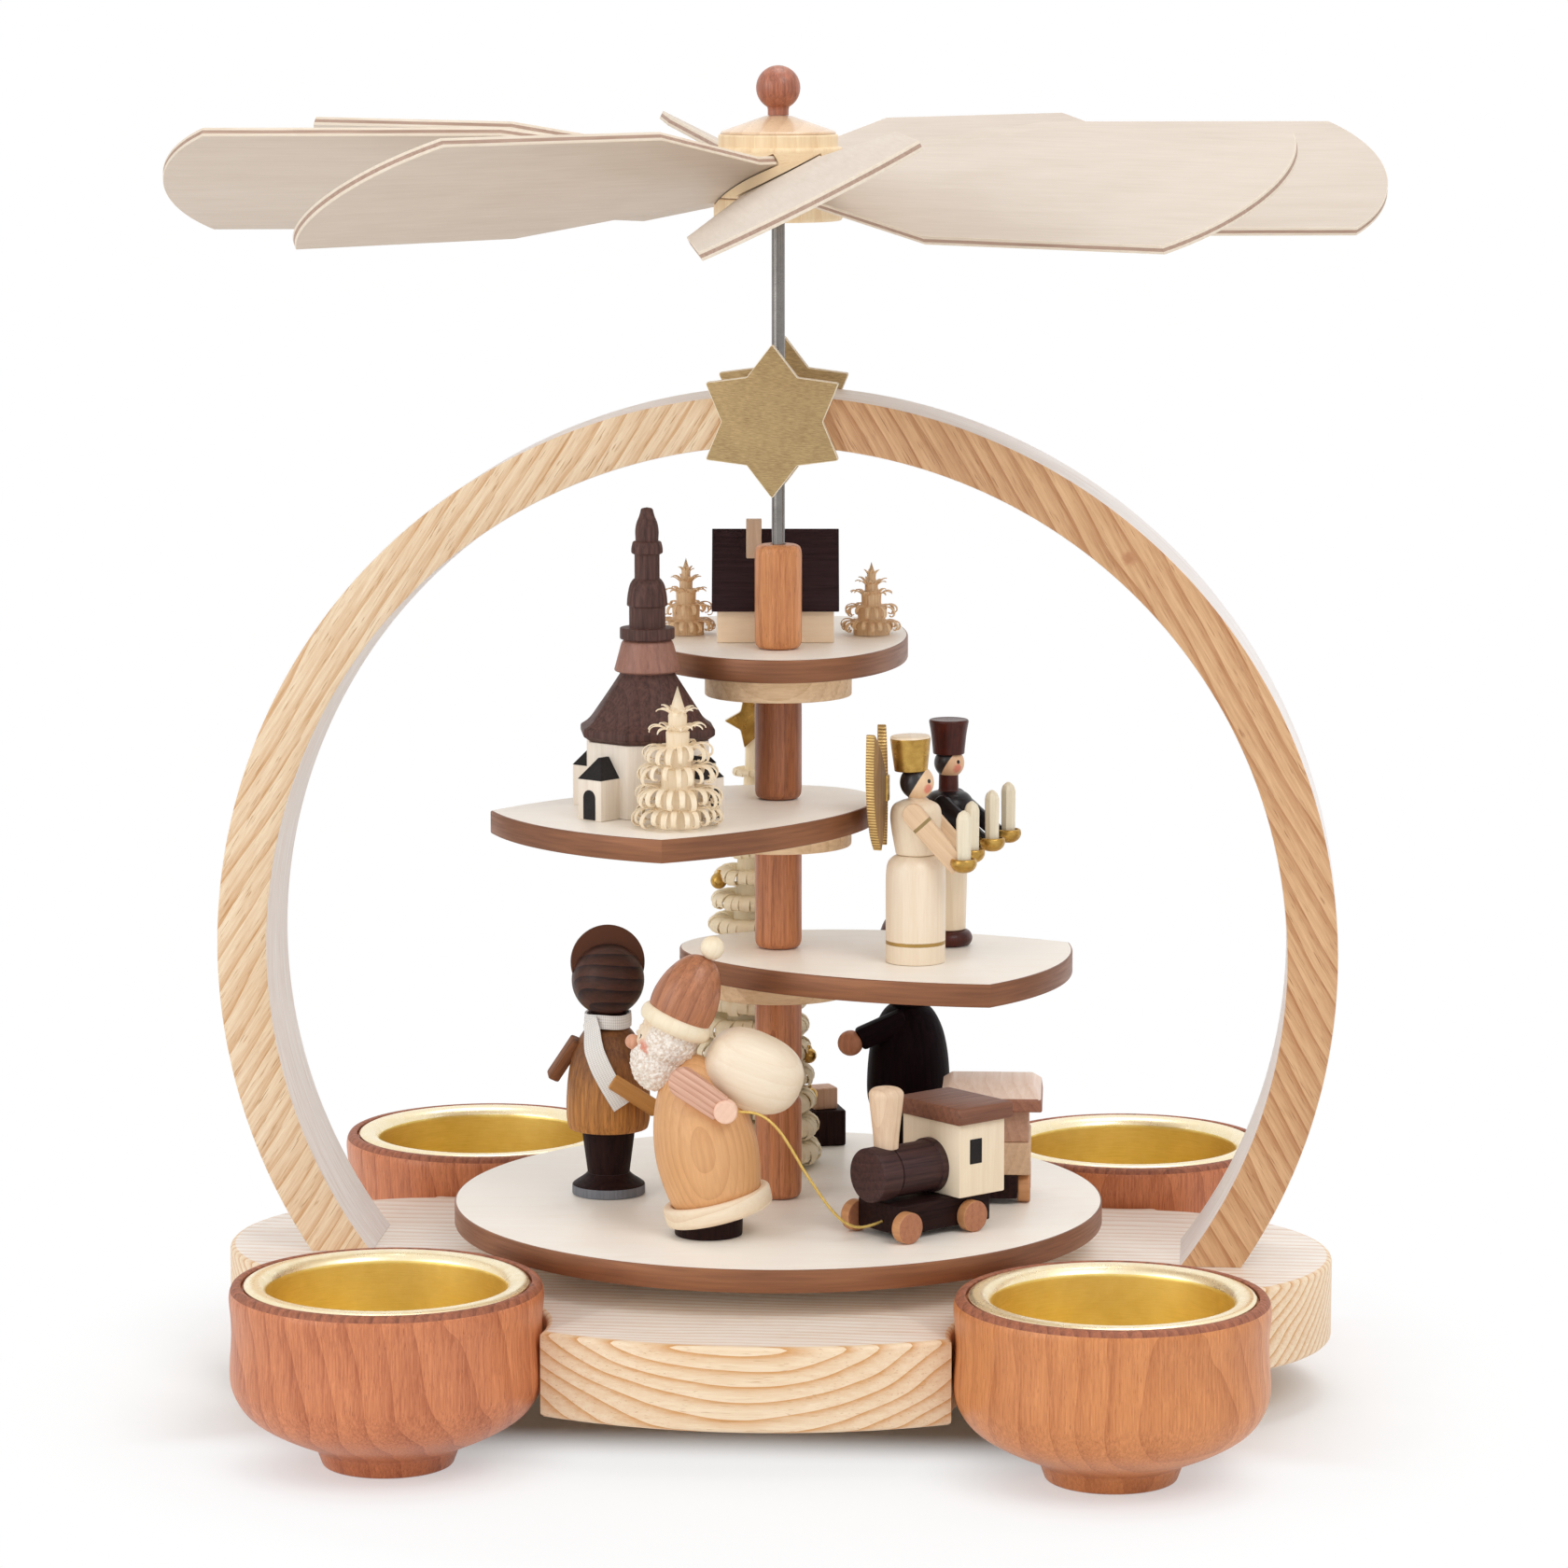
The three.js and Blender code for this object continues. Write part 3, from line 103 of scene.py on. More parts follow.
class Form:
    def __init__(self, points, faces, tones=None, stock=None):
        self.points = [Vector(p) for p in points]
        self.faces = [list(f) for f in faces]
        self.tones = list(tones) if tones else [0] * len(self.faces)
        self.stock = list(stock) if stock else [p.copy() for p in self.points]

    def moved(self, matrix):
        self.points = [matrix @ p for p in self.points]
        return self

    def grained(self, matrix=None):
        """Turns the stock, or takes it again from the form as it lies now."""
        self.stock = [matrix @ p for p in self.stock] if matrix else [p.copy() for p in self.points]
        return self

    def __add__(self, other):
        shift = len(self.points)
        return Form(self.points + other.points, self.faces + [[i + shift for i in f] for f in other.faces],
                    self.tones + other.tones, self.stock + other.stock)


def bands(count, rows, closed=False):
    """Four-sided faces between rows of points, each row a loop of the same count."""
    faces = []
    for k in range(rows if closed else rows - 1):
        low, high = k * count, (k + 1) % rows * count
        faces += [[low + i, low + (i + 1) % count, high + (i + 1) % count, high + i] for i in range(count)]
    return faces


def caps(count, rows):
    """The two end faces of such a stack of rows."""
    return [list(range(count))[::-1], list(range((rows - 1) * count, rows * count))]


def soften(path, closed=False, steps=4):
    """Rounds the corners of a path of (x, y, reach of the rounding, tone of the stretch from there on)."""
    full = [(list(item) + [0, 0])[:4] for item in path]
    out = []
    for i, (x, y, reach, tone) in enumerate(full):
        if reach <= 0 or (not closed and i in (0, len(full) - 1)):
            out.append((x, y, tone))
            continue
        here = Vector((x, y))
        to_last = Vector(full[i - 1][:2]) - here
        to_next = Vector(full[(i + 1) % len(full)][:2]) - here
        a = here + to_last.normalized() * min(reach, to_last.length * 0.49)
        b = here + to_next.normalized() * min(reach, to_next.length * 0.49)
        for k in range(steps + 1):
            t = k / steps
            p = a * (1 - t) ** 2 + here * (2 * t * (1 - t)) + b * t * t
            out.append((p.x, p.y, full[i - 1][3] if k < steps / 2 else tone))
    return out


def lathe(path, facets=48, ring=False, steps=4):
    """A turned form, from radii and heights given as for soften."""
    profile = soften(path, closed=ring, steps=steps)
    points, rows = [], []
    for radius, height, _ in profile:
        if radius < 1e-6:
            rows.append([len(points)] * facets)
            points.append((0, 0, height))
        else:
            rows.append(list(range(len(points), len(points) + facets)))
            points += [(*polar(radius, 360 * i / facets), height) for i in range(facets)]
    faces, tones = [], []
    pairs = list(zip(rows, rows[1:])) + ([(rows[-1], rows[0])] if ring else [])
    for (low, high), (_, _, tone) in zip(pairs, profile):
        for i in range(facets):
            j = (i + 1) % facets
            face = list(dict.fromkeys([low[i], low[j], high[j], high[i]]))
            if len(face) > 2:
                faces.append(face)
                tones.append(tone)
    return Form(points, faces, tones)


def inset(outline, distance):
    """An anticlockwise outline moved inwards by a distance."""
    count, out = len(outline), []
    for i in range(count):
        before = (outline[i] - outline[i - 1]).normalized()
        after = (outline[(i + 1) % count] - outline[i]).normalized()
        inward = Vector((-before.y, before.x))
        normal = Vector((-before.y - after.y, before.x + after.x))
        normal = normal.normalized() if normal.length > 1e-6 else inward
        out.append(outline[i] + normal * (distance / max(0.35, normal.dot(inward))))
    return out


def anticlockwise(outline):
    area = sum(a[0] * b[1] - b[0] * a[1] for a, b in zip(outline, outline[1:] + outline[:1]))
    return outline if area > 0 else outline[::-1]


def prism(outline, low, high, bevel=0.0, layers=(), steps=3, side_tone=0):
    """A board with rounded rims. Layers are (height, tone) from the bottom up, for the side's plies."""
    outline = [Vector(p[:2]) for p in outline]
    turns = [math.radians(90 * k / steps) for k in range(steps + 1)] if bevel > 0 else [math.pi / 2]
    rims = [(bevel * (1 - math.cos(a)), bevel * (1 - math.sin(a))) for a in turns]
    rows = [(low + rise, d, side_tone) for rise, d in rims]
    rows += [(z, 0, tone) for z, tone in layers]
    last = layers[-1][1] if layers else side_tone
    rows += [(high - rise, d, last if d == 0 else side_tone) for rise, d in reversed(rims)]
    count = len(outline)
    points = [(p.x, p.y, z) for z, d, _ in rows for p in (inset(outline, d) if d > 1e-6 else outline)]
    tones = [tone for _, _, tone in rows[:-1] for _ in outline]
    return Form(points, bands(count, len(rows)) + caps(count, len(rows)), tones + [0, 0])


def block(wide, deep, high, bevel=0.25, bottom=0.0):
    corners = [(-wide / 2, -deep / 2), (wide / 2, -deep / 2), (wide / 2, deep / 2), (-wide / 2, deep / 2)]
    outline = soften([(x, y, bevel * 1.4) for x, y in corners], closed=True, steps=2)
    return prism(outline, bottom, bottom + high, bevel)


def box(near, far):
    """A plain box between two corners."""
    points = [(x, y, z) for x in (near[0], far[0]) for y in (near[1], far[1]) for z in (near[2], far[2])]
    return Form(points, [[0, 1, 3, 2], [4, 6, 7, 5], [0, 4, 5, 1], [2, 3, 7, 6], [0, 2, 6, 4], [1, 5, 7, 3]])


def arc(radius, start, end, count, centre=(0, 0), squash=1.0):
    """Points of a circle or ellipse between two angles in degrees."""
    steps = [polar(radius, start + (end - start) * i / count) for i in range(count + 1)]
    return [(centre[0] + x, centre[1] + squash * y) for x, y in steps]


def standing(form, sideways=False):
    """Takes a board from the XY plane to the XZ plane, or to the YZ plane, with its thickness level."""
    form.moved(tilt(90, "X"))
    return form.moved(tilt(90, "Z")) if sideways else form


def board(path, half, bevel=0.0, steps=2, rim_steps=2, **more):
    """A board of twice a half thickness, from an outline with corners to soften."""
    return prism(soften(path, closed=True, steps=steps), -half, half, bevel, steps=rim_steps, **more)


def ball(radius, facets=32, scale=(1, 1, 1)):
    rows = max(8, facets // 2)
    angles = [math.pi * k / rows for k in range(1, rows)]
    path = [(radius * math.sin(a), -radius * math.cos(a)) for a in angles]
    return lathe([(0, -radius), *path, (0, radius)], facets).moved(Matrix.Diagonal((*scale, 1)))


def along(start, end):
    """The place and turn that take a stick from the Z axis to a line; its broad side stays level."""
    forward = (Vector(end) - Vector(start)).normalized()
    across = Vector((0, 1, 0)).cross(forward).normalized()
    out = forward.cross(across).normalized()
    return Matrix.Translation(start) @ Matrix((across, out, forward)).transposed().to_4x4()


def bar(start, end, wide, thick, bevel=0.4):
    stick = block(wide, thick, (Vector(end) - Vector(start)).length, bevel)
    return stick.moved(along(start, end))


def ribbon(path, width, thickness, taper):
    """A thin strip along a path in the XZ plane, its width along Y. Its grain follows the strip."""
    points, stock, run, last = [], [], 0.0, len(path) - 1
    path = [Vector(p) for p in path]
    for i, here in enumerate(path):
        ahead = path[min(i + 1, last)] - path[max(i - 1, 0)]
        ahead.normalize()
        run += (here - path[max(i - 1, 0)]).length
        narrow = max(0.0, i / last - 0.45) / 0.55
        half = width * (1 - taper * narrow) / 2
        for y, side in ((-half, -1), (half, -1), (half, 1), (-half, 1)):
            lift = side * thickness / 2
            points.append((here.x - ahead.y * lift, y, here.y + ahead.x * lift))
            stock.append(Vector((y, lift, run)))
    return Form(points, bands(4, len(path)) + caps(4, len(path)), None, stock)


# Pieces: a form made into an object in metres, which rides on a body and stands for CAD nodes

def make(name, form, looks, body, node, slot, place=Matrix.Identity(4), seed=None, sharp=32, cuts=(),
         spin=0.5):
    rng = random.Random(name if seed is None else seed)
    mesh = plain_mesh(name, form)
    mesh.polygons.foreach_set("material_index", form.tones)
    turn = Matrix.Rotation(rng.uniform(-spin, spin), 3, "Z")
    shift = Vector((0, 0, rng.uniform(0, 400) if spin else 0))
    layer = mesh.attributes.new("stock", "FLOAT_VECTOR", "POINT")
    layer.data.foreach_set("vector", [c for p in form.stock for c in (turn @ p + shift)])
    for look in (looks if isinstance(looks, (list, tuple)) else [looks]):
        mesh.materials.append(M[look] if isinstance(look, str) else look)
    piece = link(name, mesh)
    face_out(mesh)
    for cutter in cuts:
        cut(piece, cutter)
    piece.data.shade_smooth()
    piece.data.set_sharp_from_angle(angle=math.radians(sharp))
    piece.matrix_world = Matrix.Translation(place.to_translation() * MM) @ place.to_3x3().to_4x4()
    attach(piece, body)
    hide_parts(node)
    return piece


def plain_mesh(name, form):
    mesh = bpy.data.meshes.new(name)
    mesh.from_pydata([p * MM for p in form.points], [], form.faces)
    return mesh


def face_out(mesh):
    """Turns every face of a closed mesh outwards. Its stock has to be there first, or a cut loses it."""
    work = bmesh.new()
    work.from_mesh(mesh)
    bmesh.ops.recalc_face_normals(work, faces=work.faces)
    work.to_mesh(mesh)
    work.free()


def cut(piece, form):
    """Takes a form out of a piece."""
    tool = link("cutter", plain_mesh("cutter", form))
    face_out(tool.data)
    step = piece.modifiers.new("cut", "BOOLEAN")
    step.operation, step.solver, step.object = "DIFFERENCE", "EXACT", tool
    result = bpy.data.meshes.new_from_object(piece.evaluated_get(bpy.context.evaluated_depsgraph_get()))
    piece.modifiers.clear()
    piece.data = result
    bpy.data.objects.remove(tool)


class Kit:
    """Makes the pieces that stand for one CAD node of the rotor, at one place."""

    def __init__(self, place, node, slot, prefix):
        self.place, self.node, self.slot, self.prefix = place, node, slot, prefix

    def add(self, name, form, looks, spot=None, slot=None, **more):
        place = self.place @ spot if spot else self.place
        return make(self.prefix + name, form, looks, "rotor", self.node, slot or self.slot, place, **more)

    def turned(self, name, path, looks, spot=None, slot=None, facets=64, **more):
        return self.add(name, lathe(path, facets), looks, spot, slot, **more)


# Materials

def linear(colour):
    """An sRGB colour of 0 to 255 as the shader wants it."""
    parts = [c / 255 for c in colour]
    return [c / 12.92 if c <= 0.04045 else ((c + 0.055) / 1.055) ** 2.4 for c in parts] + [1.0]


class Shader:
    """A material's node tree, with short calls for the nodes that are used here."""

    def __init__(self, name):
        self.material = bpy.data.materials.new(name)
        self.material.use_nodes = True
        self.tree = self.material.node_tree
        self.surface = self.tree.nodes["Principled BSDF"]

    def node(self, kind, inputs=None, **settings):
        made = self.tree.nodes.new("ShaderNode" + kind)
        for key, value in settings.items():
            setattr(made, key, value)
        for key, value in (inputs or {}).items():
            self.feed(made.inputs[key], value)
        return made

    def feed(self, socket, value):
        if isinstance(value, bpy.types.NodeSocket):
            self.tree.links.new(value, socket)
        else:
            socket.default_value = value

    def math(self, operation, a, b=0.0, c=0.0):
        return self.node("Math", {0: a, 1: b, 2: c}, operation=operation).outputs[0]

    def vector(self, operation, a, b=(0, 0, 0)):
        made = self.node("VectorMath", {0: a, 1: b}, operation=operation)
        return made.outputs["Value" if operation in ("LENGTH", "DOT_PRODUCT") else "Vector"]

    def stretch(self, vector, scale=(1, 1, 1), shift=(0, 0, 0), turn=(0, 0, 0)):
        return self.node("Mapping", {"Vector": vector, "Scale": scale, "Location": shift,
                                     "Rotation": turn}).outputs[0]

    def noise(self, vector, scale=1.0, detail=3.0, roughness=0.55):
        return self.node("TexNoise", {"Vector": vector, "Scale": scale, "Detail": detail,
                                      "Roughness": roughness}).outputs["Fac"]

    def ribs(self, vector, scale, direction="Z", **inputs):
        return self.node("TexWave", {"Vector": vector, "Scale": scale, **inputs}, wave_type="BANDS",
                         bands_direction=direction).outputs["Fac"]

    def ramp(self, fac, *stops):
        made = self.node("ValToRGB", {"Fac": fac})
        for element, (place, colour) in zip(made.color_ramp.elements, stops):
            element.position, element.color = place, linear(colour)
        return made.outputs["Color"]

    def blend(self, a, a_share, b, b_share):
        return self.math("MULTIPLY_ADD", a, a_share, self.math("MULTIPLY", b, b_share))

    def mix(self, fac, a, b, kind="RGBA", blend="MIX"):
        made = self.node("Mix", data_type=kind, blend_type=blend)
        made.clamp_factor = True
        first, second, result = {"RGBA": (6, 7, 2), "FLOAT": (2, 3, 0)}[kind]
        for socket, value in ((0, fac), (first, a), (second, b)):
            self.feed(made.inputs[socket], value)
        return made.outputs[result]

    def remap(self, value, low, high, to_low=0.0, to_high=1.0, smooth=False):
        return self.node("MapRange", {0: value, 1: low, 2: high, 3: to_low, 4: to_high},
                         interpolation_type="SMOOTHSTEP" if smooth else "LINEAR").outputs[0]

    def finish(self, height, strength=0.4, distance=0.0002, **values):
        """Sets the surface, adds the relief and hands over the material."""
        for key, value in values.items():
            self.feed(self.surface.inputs[key.replace("_", " ")], value)
        made = self.node("Bump", {"Height": height, "Strength": strength, "Distance": distance})
        self.feed(self.surface.inputs["Normal"], made.outputs[0])
        return self.material

    def stock(self):
        return self.node("Attribute", attribute_name="stock").outputs["Vector"]

    def place(self):
        """The piece's own coordinates in millimetres."""
        return self.stretch(self.node("TexCoord").outputs["Object"], (1000, 1000, 1000))

    def mask(self, mark):
        """1 inside a mark and 0 outside it: a ball, a half space or a slab in the piece's own millimetres."""
        place = self.place()
        away = self.vector("SUBTRACT", place, mark["at"])
        soft = mark["soft"]
        if "radius" in mark:
            depth = self.math("SUBTRACT", mark["radius"], self.vector("LENGTH", away))
        else:
            depth = self.vector("DOT_PRODUCT", away, mark["along"])
            if "half" in mark:
                depth = self.math("SUBTRACT", mark["half"], self.math("ABSOLUTE", depth))
        worn = self.math("MULTIPLY_ADD", self.noise(place, 2.5, 3), soft, -soft / 2)
        return self.remap(self.math("ADD", depth, worn), -soft / 2, soft / 2, smooth=True)


def wood(name, light, dark, ring=2.0, rings=0.45, fibres=0.5, rough=0.5, pores=0.0, pore_tint=0.6,
         relief=0.35, pith=(22, 9), lean=0.05, coat=0.0, blotch=0.15, marks=(), fine=1.0, spec=0.5,
         coat_rough=0.15, crisp=1.8, shade=None):
    """Growth rings about a pith beside the piece, fibres along the grain, pores, and painted marks."""
    s = Shader(name)
    stock = s.stock()
    sway = s.node("TexNoise", {"Vector": s.stretch(stock, (0.05, 0.05, 0.018)), "Scale": 1.0, "Detail": 2.0})
    bend = s.vector("SUBTRACT", sway.outputs["Color"], (0.5, 0.5, 0.5))
    bend = s.node("VectorMath", {0: bend, "Scale": ring * 2.6}, operation="SCALE").outputs[0]
    swayed = s.stretch(s.vector("ADD", stock, bend), shift=(*pith, 0), turn=(lean, lean * 0.6, 0))
    growth = s.node("TexWave", {"Vector": swayed, "Scale": 0.314 / ring, "Distortion": 0.6, "Detail": 2.0,
                                "Detail Scale": 0.4},
                    wave_type="RINGS", rings_direction="Z", wave_profile="SAW")
    growth = s.math("POWER", growth.outputs["Fac"], crisp)
    fibre = s.noise(s.stretch(stock, (1.6 * fine, 1.6 * fine, 0.07 * fine)), 1.0, 5.0, 0.62)
    thread = s.noise(s.stretch(stock, (6.5 * fine, 6.5 * fine, 0.3 * fine)), 1.0, 2.0, 0.5)
    cloud = s.noise(s.stretch(stock, (0.12, 0.12, 0.05)), 1.0, 2.0)
    tone = s.math("MULTIPLY", growth, rings)
    tone = s.math("MULTIPLY_ADD", s.remap(fibre, 0.32, 0.68), fibres * 0.7, tone)
    tone = s.math("MULTIPLY_ADD", s.remap(thread, 0.3, 0.7), fibres * 0.3, tone)
    tone = s.math("MULTIPLY_ADD", cloud, blotch * 2, s.math("SUBTRACT", tone, blotch))
    colour = s.ramp(tone, (0.0, light), (1.0, dark))
    height = s.blend(fibre, 0.6, thread, 0.4)
    if pores:
        dash = s.noise(s.stretch(stock, (4.2 * fine, 4.2 * fine, 0.22 * fine)), 1.0, 1.0, 0.4)
        hole = s.remap(dash, 0.66, 0.74, 0.0, pores)
        colour = s.mix(hole, colour, [c * pore_tint for c in linear(dark)[:3]] + [1.0])
        height = s.math("SUBTRACT", height, hole)
    if shade:
        low, high, deep = shade
        up = s.node("SeparateXYZ", {0: s.place()}).outputs["Z"]
        colour = s.mix(s.remap(up, low, high, smooth=True), colour, deep, blend="MULTIPLY")
    shine = s.remap(fibre, 0.3, 0.7, rough - 0.06, rough + 0.08)
    metallic = 0.0
    for mark in marks:
        inside = s.mask(mark)
        colour = s.mix(inside, colour, linear(mark["colour"]))
        shine = s.mix(inside, shine, mark.get("rough", 0.35), kind="FLOAT")
        if "metal" in mark:
            metallic = s.mix(inside, metallic, mark["metal"], kind="FLOAT")
    return s.finish(height, relief, Base_Color=colour, Roughness=shine, Coat_Weight=coat,
                    Coat_Roughness=coat_rough, Specular_IOR_Level=spec, Metallic=metallic)


def metal(name, colour, worn, rough=0.3, brushed=(1, 1, 1), streaks=0.5, metallic=1.0, relief=0.15,
          patches=0.3, own_place=False):
    """Brushed or lacquered metal, with streaks along one of the stock's axes and cloudy wear."""
    s = Shader(name)
    stock = s.place() if own_place else s.stock()
    streak = s.noise(s.stretch(stock, brushed), 1.0, 4.0, 0.6)
    cloud = s.noise(stock, 0.35, 3.0)
    tone = s.blend(s.remap(streak, 0.3, 0.7), streaks, s.remap(cloud, 0.35, 0.7), patches)
    return s.finish(streak, relief, 0.0001, Base_Color=s.ramp(tone, (0.1, colour), (1.0, worn)),
                    Roughness=s.remap(streak, 0.25, 0.75, max(0.05, rough - 0.08), rough + 0.12),
                    Metallic=metallic)


def paint(name, colour, shade, rough=0.3, coat=0.3, spec=0.5):
    """Lacquer on wood: thin brush marks and the fibre underneath show through."""
    s = Shader(name)
    stock = s.stock()
    fibre = s.noise(s.stretch(stock, (3.0, 3.0, 0.25)), 1.0, 4.0, 0.6)
    tone = s.blend(fibre, 0.6, s.noise(stock, 0.45, 3.0), 0.4)
    return s.finish(tone, 0.35, 0.0001, Base_Color=s.ramp(tone, (0.35, colour), (0.7, shade)),
                    Roughness=s.remap(fibre, 0.3, 0.7, rough, rough + 0.15), Coat_Weight=coat,
                    Coat_Roughness=0.12, Specular_IOR_Level=spec)


def curly(name, light, dark, front=()):
    """Close curls of wool: pale bumps, with painted shade in the small gaps between them."""
    s = Shader(name)
    place = s.place()
    grain = s.node("TexVoronoi", {"Vector": place, "Scale": 2.1, "Randomness": 1.0}, feature="F1")
    curl = s.remap(grain.outputs["Distance"], 0.1, 0.75)
    speck = s.noise(place, 1.7, 3.0)
    # Painted shade: the colour darkens towards the gaps between the curls, where the bump is lowest.
    tone = s.blend(curl, 0.75, s.remap(speck, 0.4, 0.7), 0.45)
    colour = s.ramp(tone, (0.45, light), (0.95, dark))
    for mark in front:
        colour = s.mix(s.mask(mark), colour, linear(mark["colour"]))
    return s.finish(s.math("SUBTRACT", 1.0, curl), 0.45, 0.0003, Base_Color=colour,
                    Roughness=s.remap(speck, 0.3, 0.7, 0.75, 0.9))


def bent_ash():
    """The arch's inner and outer faces: fibres that run round it."""
    s = Shader("ash_bent")
    parts = s.node("SeparateXYZ", {0: s.place()}).outputs
    turn = s.math("ARCTAN2", parts["X"], s.math("SUBTRACT", parts["Z"], 77.5))
    run = s.node("CombineXYZ", {0: parts["Y"], 1: 0.0, 2: s.math("MULTIPLY", turn, 93.0)}).outputs[0]
    fibre = s.noise(s.stretch(run, (1.3, 1.0, 0.05)), 1.0, 5.0, 0.62)
    thread = s.noise(s.stretch(run, (5.5, 1.0, 0.25)), 1.0, 2.0)
    tone = s.blend(fibre, 0.65, thread, 0.35)
    return s.finish(tone, 0.3, Base_Color=s.ramp(tone, (0.36, (255, 252, 250)), (0.72, (224, 206, 194))),
                    Roughness=s.remap(fibre, 0.3, 0.7, 0.48, 0.62), Coat_Weight=0.2, Coat_Roughness=0.3)


def ribbed_gold():
    """The wings' rim: close ribs across it, gold lacquer."""
    s = Shader("wing_rim")
    stock = s.stock()
    ribs = s.ribs(stock, 0.628, Distortion=0.6, Detail=2.0, **{"Detail Scale": 2.0})
    cloud = s.noise(stock, 0.5, 3.0)
    tone = s.blend(ribs, 0.6, cloud, 0.4)
    colour = s.ramp(tone, (0.2, (158, 120, 66)), (0.8, (232, 200, 134)))
    return s.finish(ribs, 0.6, 0.00015, Base_Color=colour, Metallic=0.75,
                    Roughness=s.remap(cloud, 0.3, 0.7, 0.32, 0.45))


def bronze_edge():
    """The tiers' edge: bronze-brown lacquer that is brushed round the rim."""
    s = Shader("bronze_edge")
    place = s.place()
    streak = s.noise(s.stretch(place, (0.1, 0.1, 2.2)), 1.0, 3.0, 0.5)
    cloud = s.noise(place, 0.03, 2.0)
    tone = s.blend(s.remap(streak, 0.3, 0.7), 0.5, s.remap(cloud, 0.35, 0.65), 0.5)
    colour = s.ramp(tone, (0.1, (154, 101, 66)), (0.9, (122, 77, 52)))
    return s.finish(streak, 0.15, 0.0001, Base_Color=colour, Metallic=0.4,
                    Roughness=s.remap(streak, 0.3, 0.7, 0.38, 0.48))


def woven_silver():
    """Woven ribbon: fine threads across and along."""
    s = Shader("silver_weave")
    stock = s.stock()
    weft, warp = s.ribs(stock, 0.9, Distortion=0.3), s.ribs(stock, 0.75, "X", Distortion=0.3)
    weave = s.math("MULTIPLY", s.remap(weft, 0, 1, 0.4, 1), s.remap(warp, 0, 1, 0.5, 1))
    colour = s.ramp(weave, (0.15, (206, 204, 200)), (0.7, (246, 244, 240)))
    return s.finish(weave, 0.4, 0.00015, Base_Color=colour, Roughness=s.remap(weave, 0, 1, 0.55, 0.4),
                    Sheen_Weight=0.3)


ASH = dict(pores=0.5, pore_tint=0.8, relief=0.3, pith=(-110, 110), lean=0.02, blotch=0.12, coat_rough=0.3)
ARCH_ASH = dict(pore_tint=0.85, pith=(150, 20), lean=0.02, coat=0.2, coat_rough=0.3, fine=1.2)
KNOT = {"at": (61, -11, 147.5), "radius": 1.0, "soft": 1.5, "colour": (184, 128, 86)}
CUP = dict(pore_tint=0.8, relief=0.25, coat=0.12, blotch=0.22, crisp=2.8, fine=1.7)
POST = dict(pores=0.6, relief=0.25, pith=(11, 4), coat=0.12, fine=1.8)
PLY = dict(relief=0.4, fine=1.4)
CURL = dict(relief=0.3, fine=2.0)
DULL = dict(relief=0.4, pores=0.4)

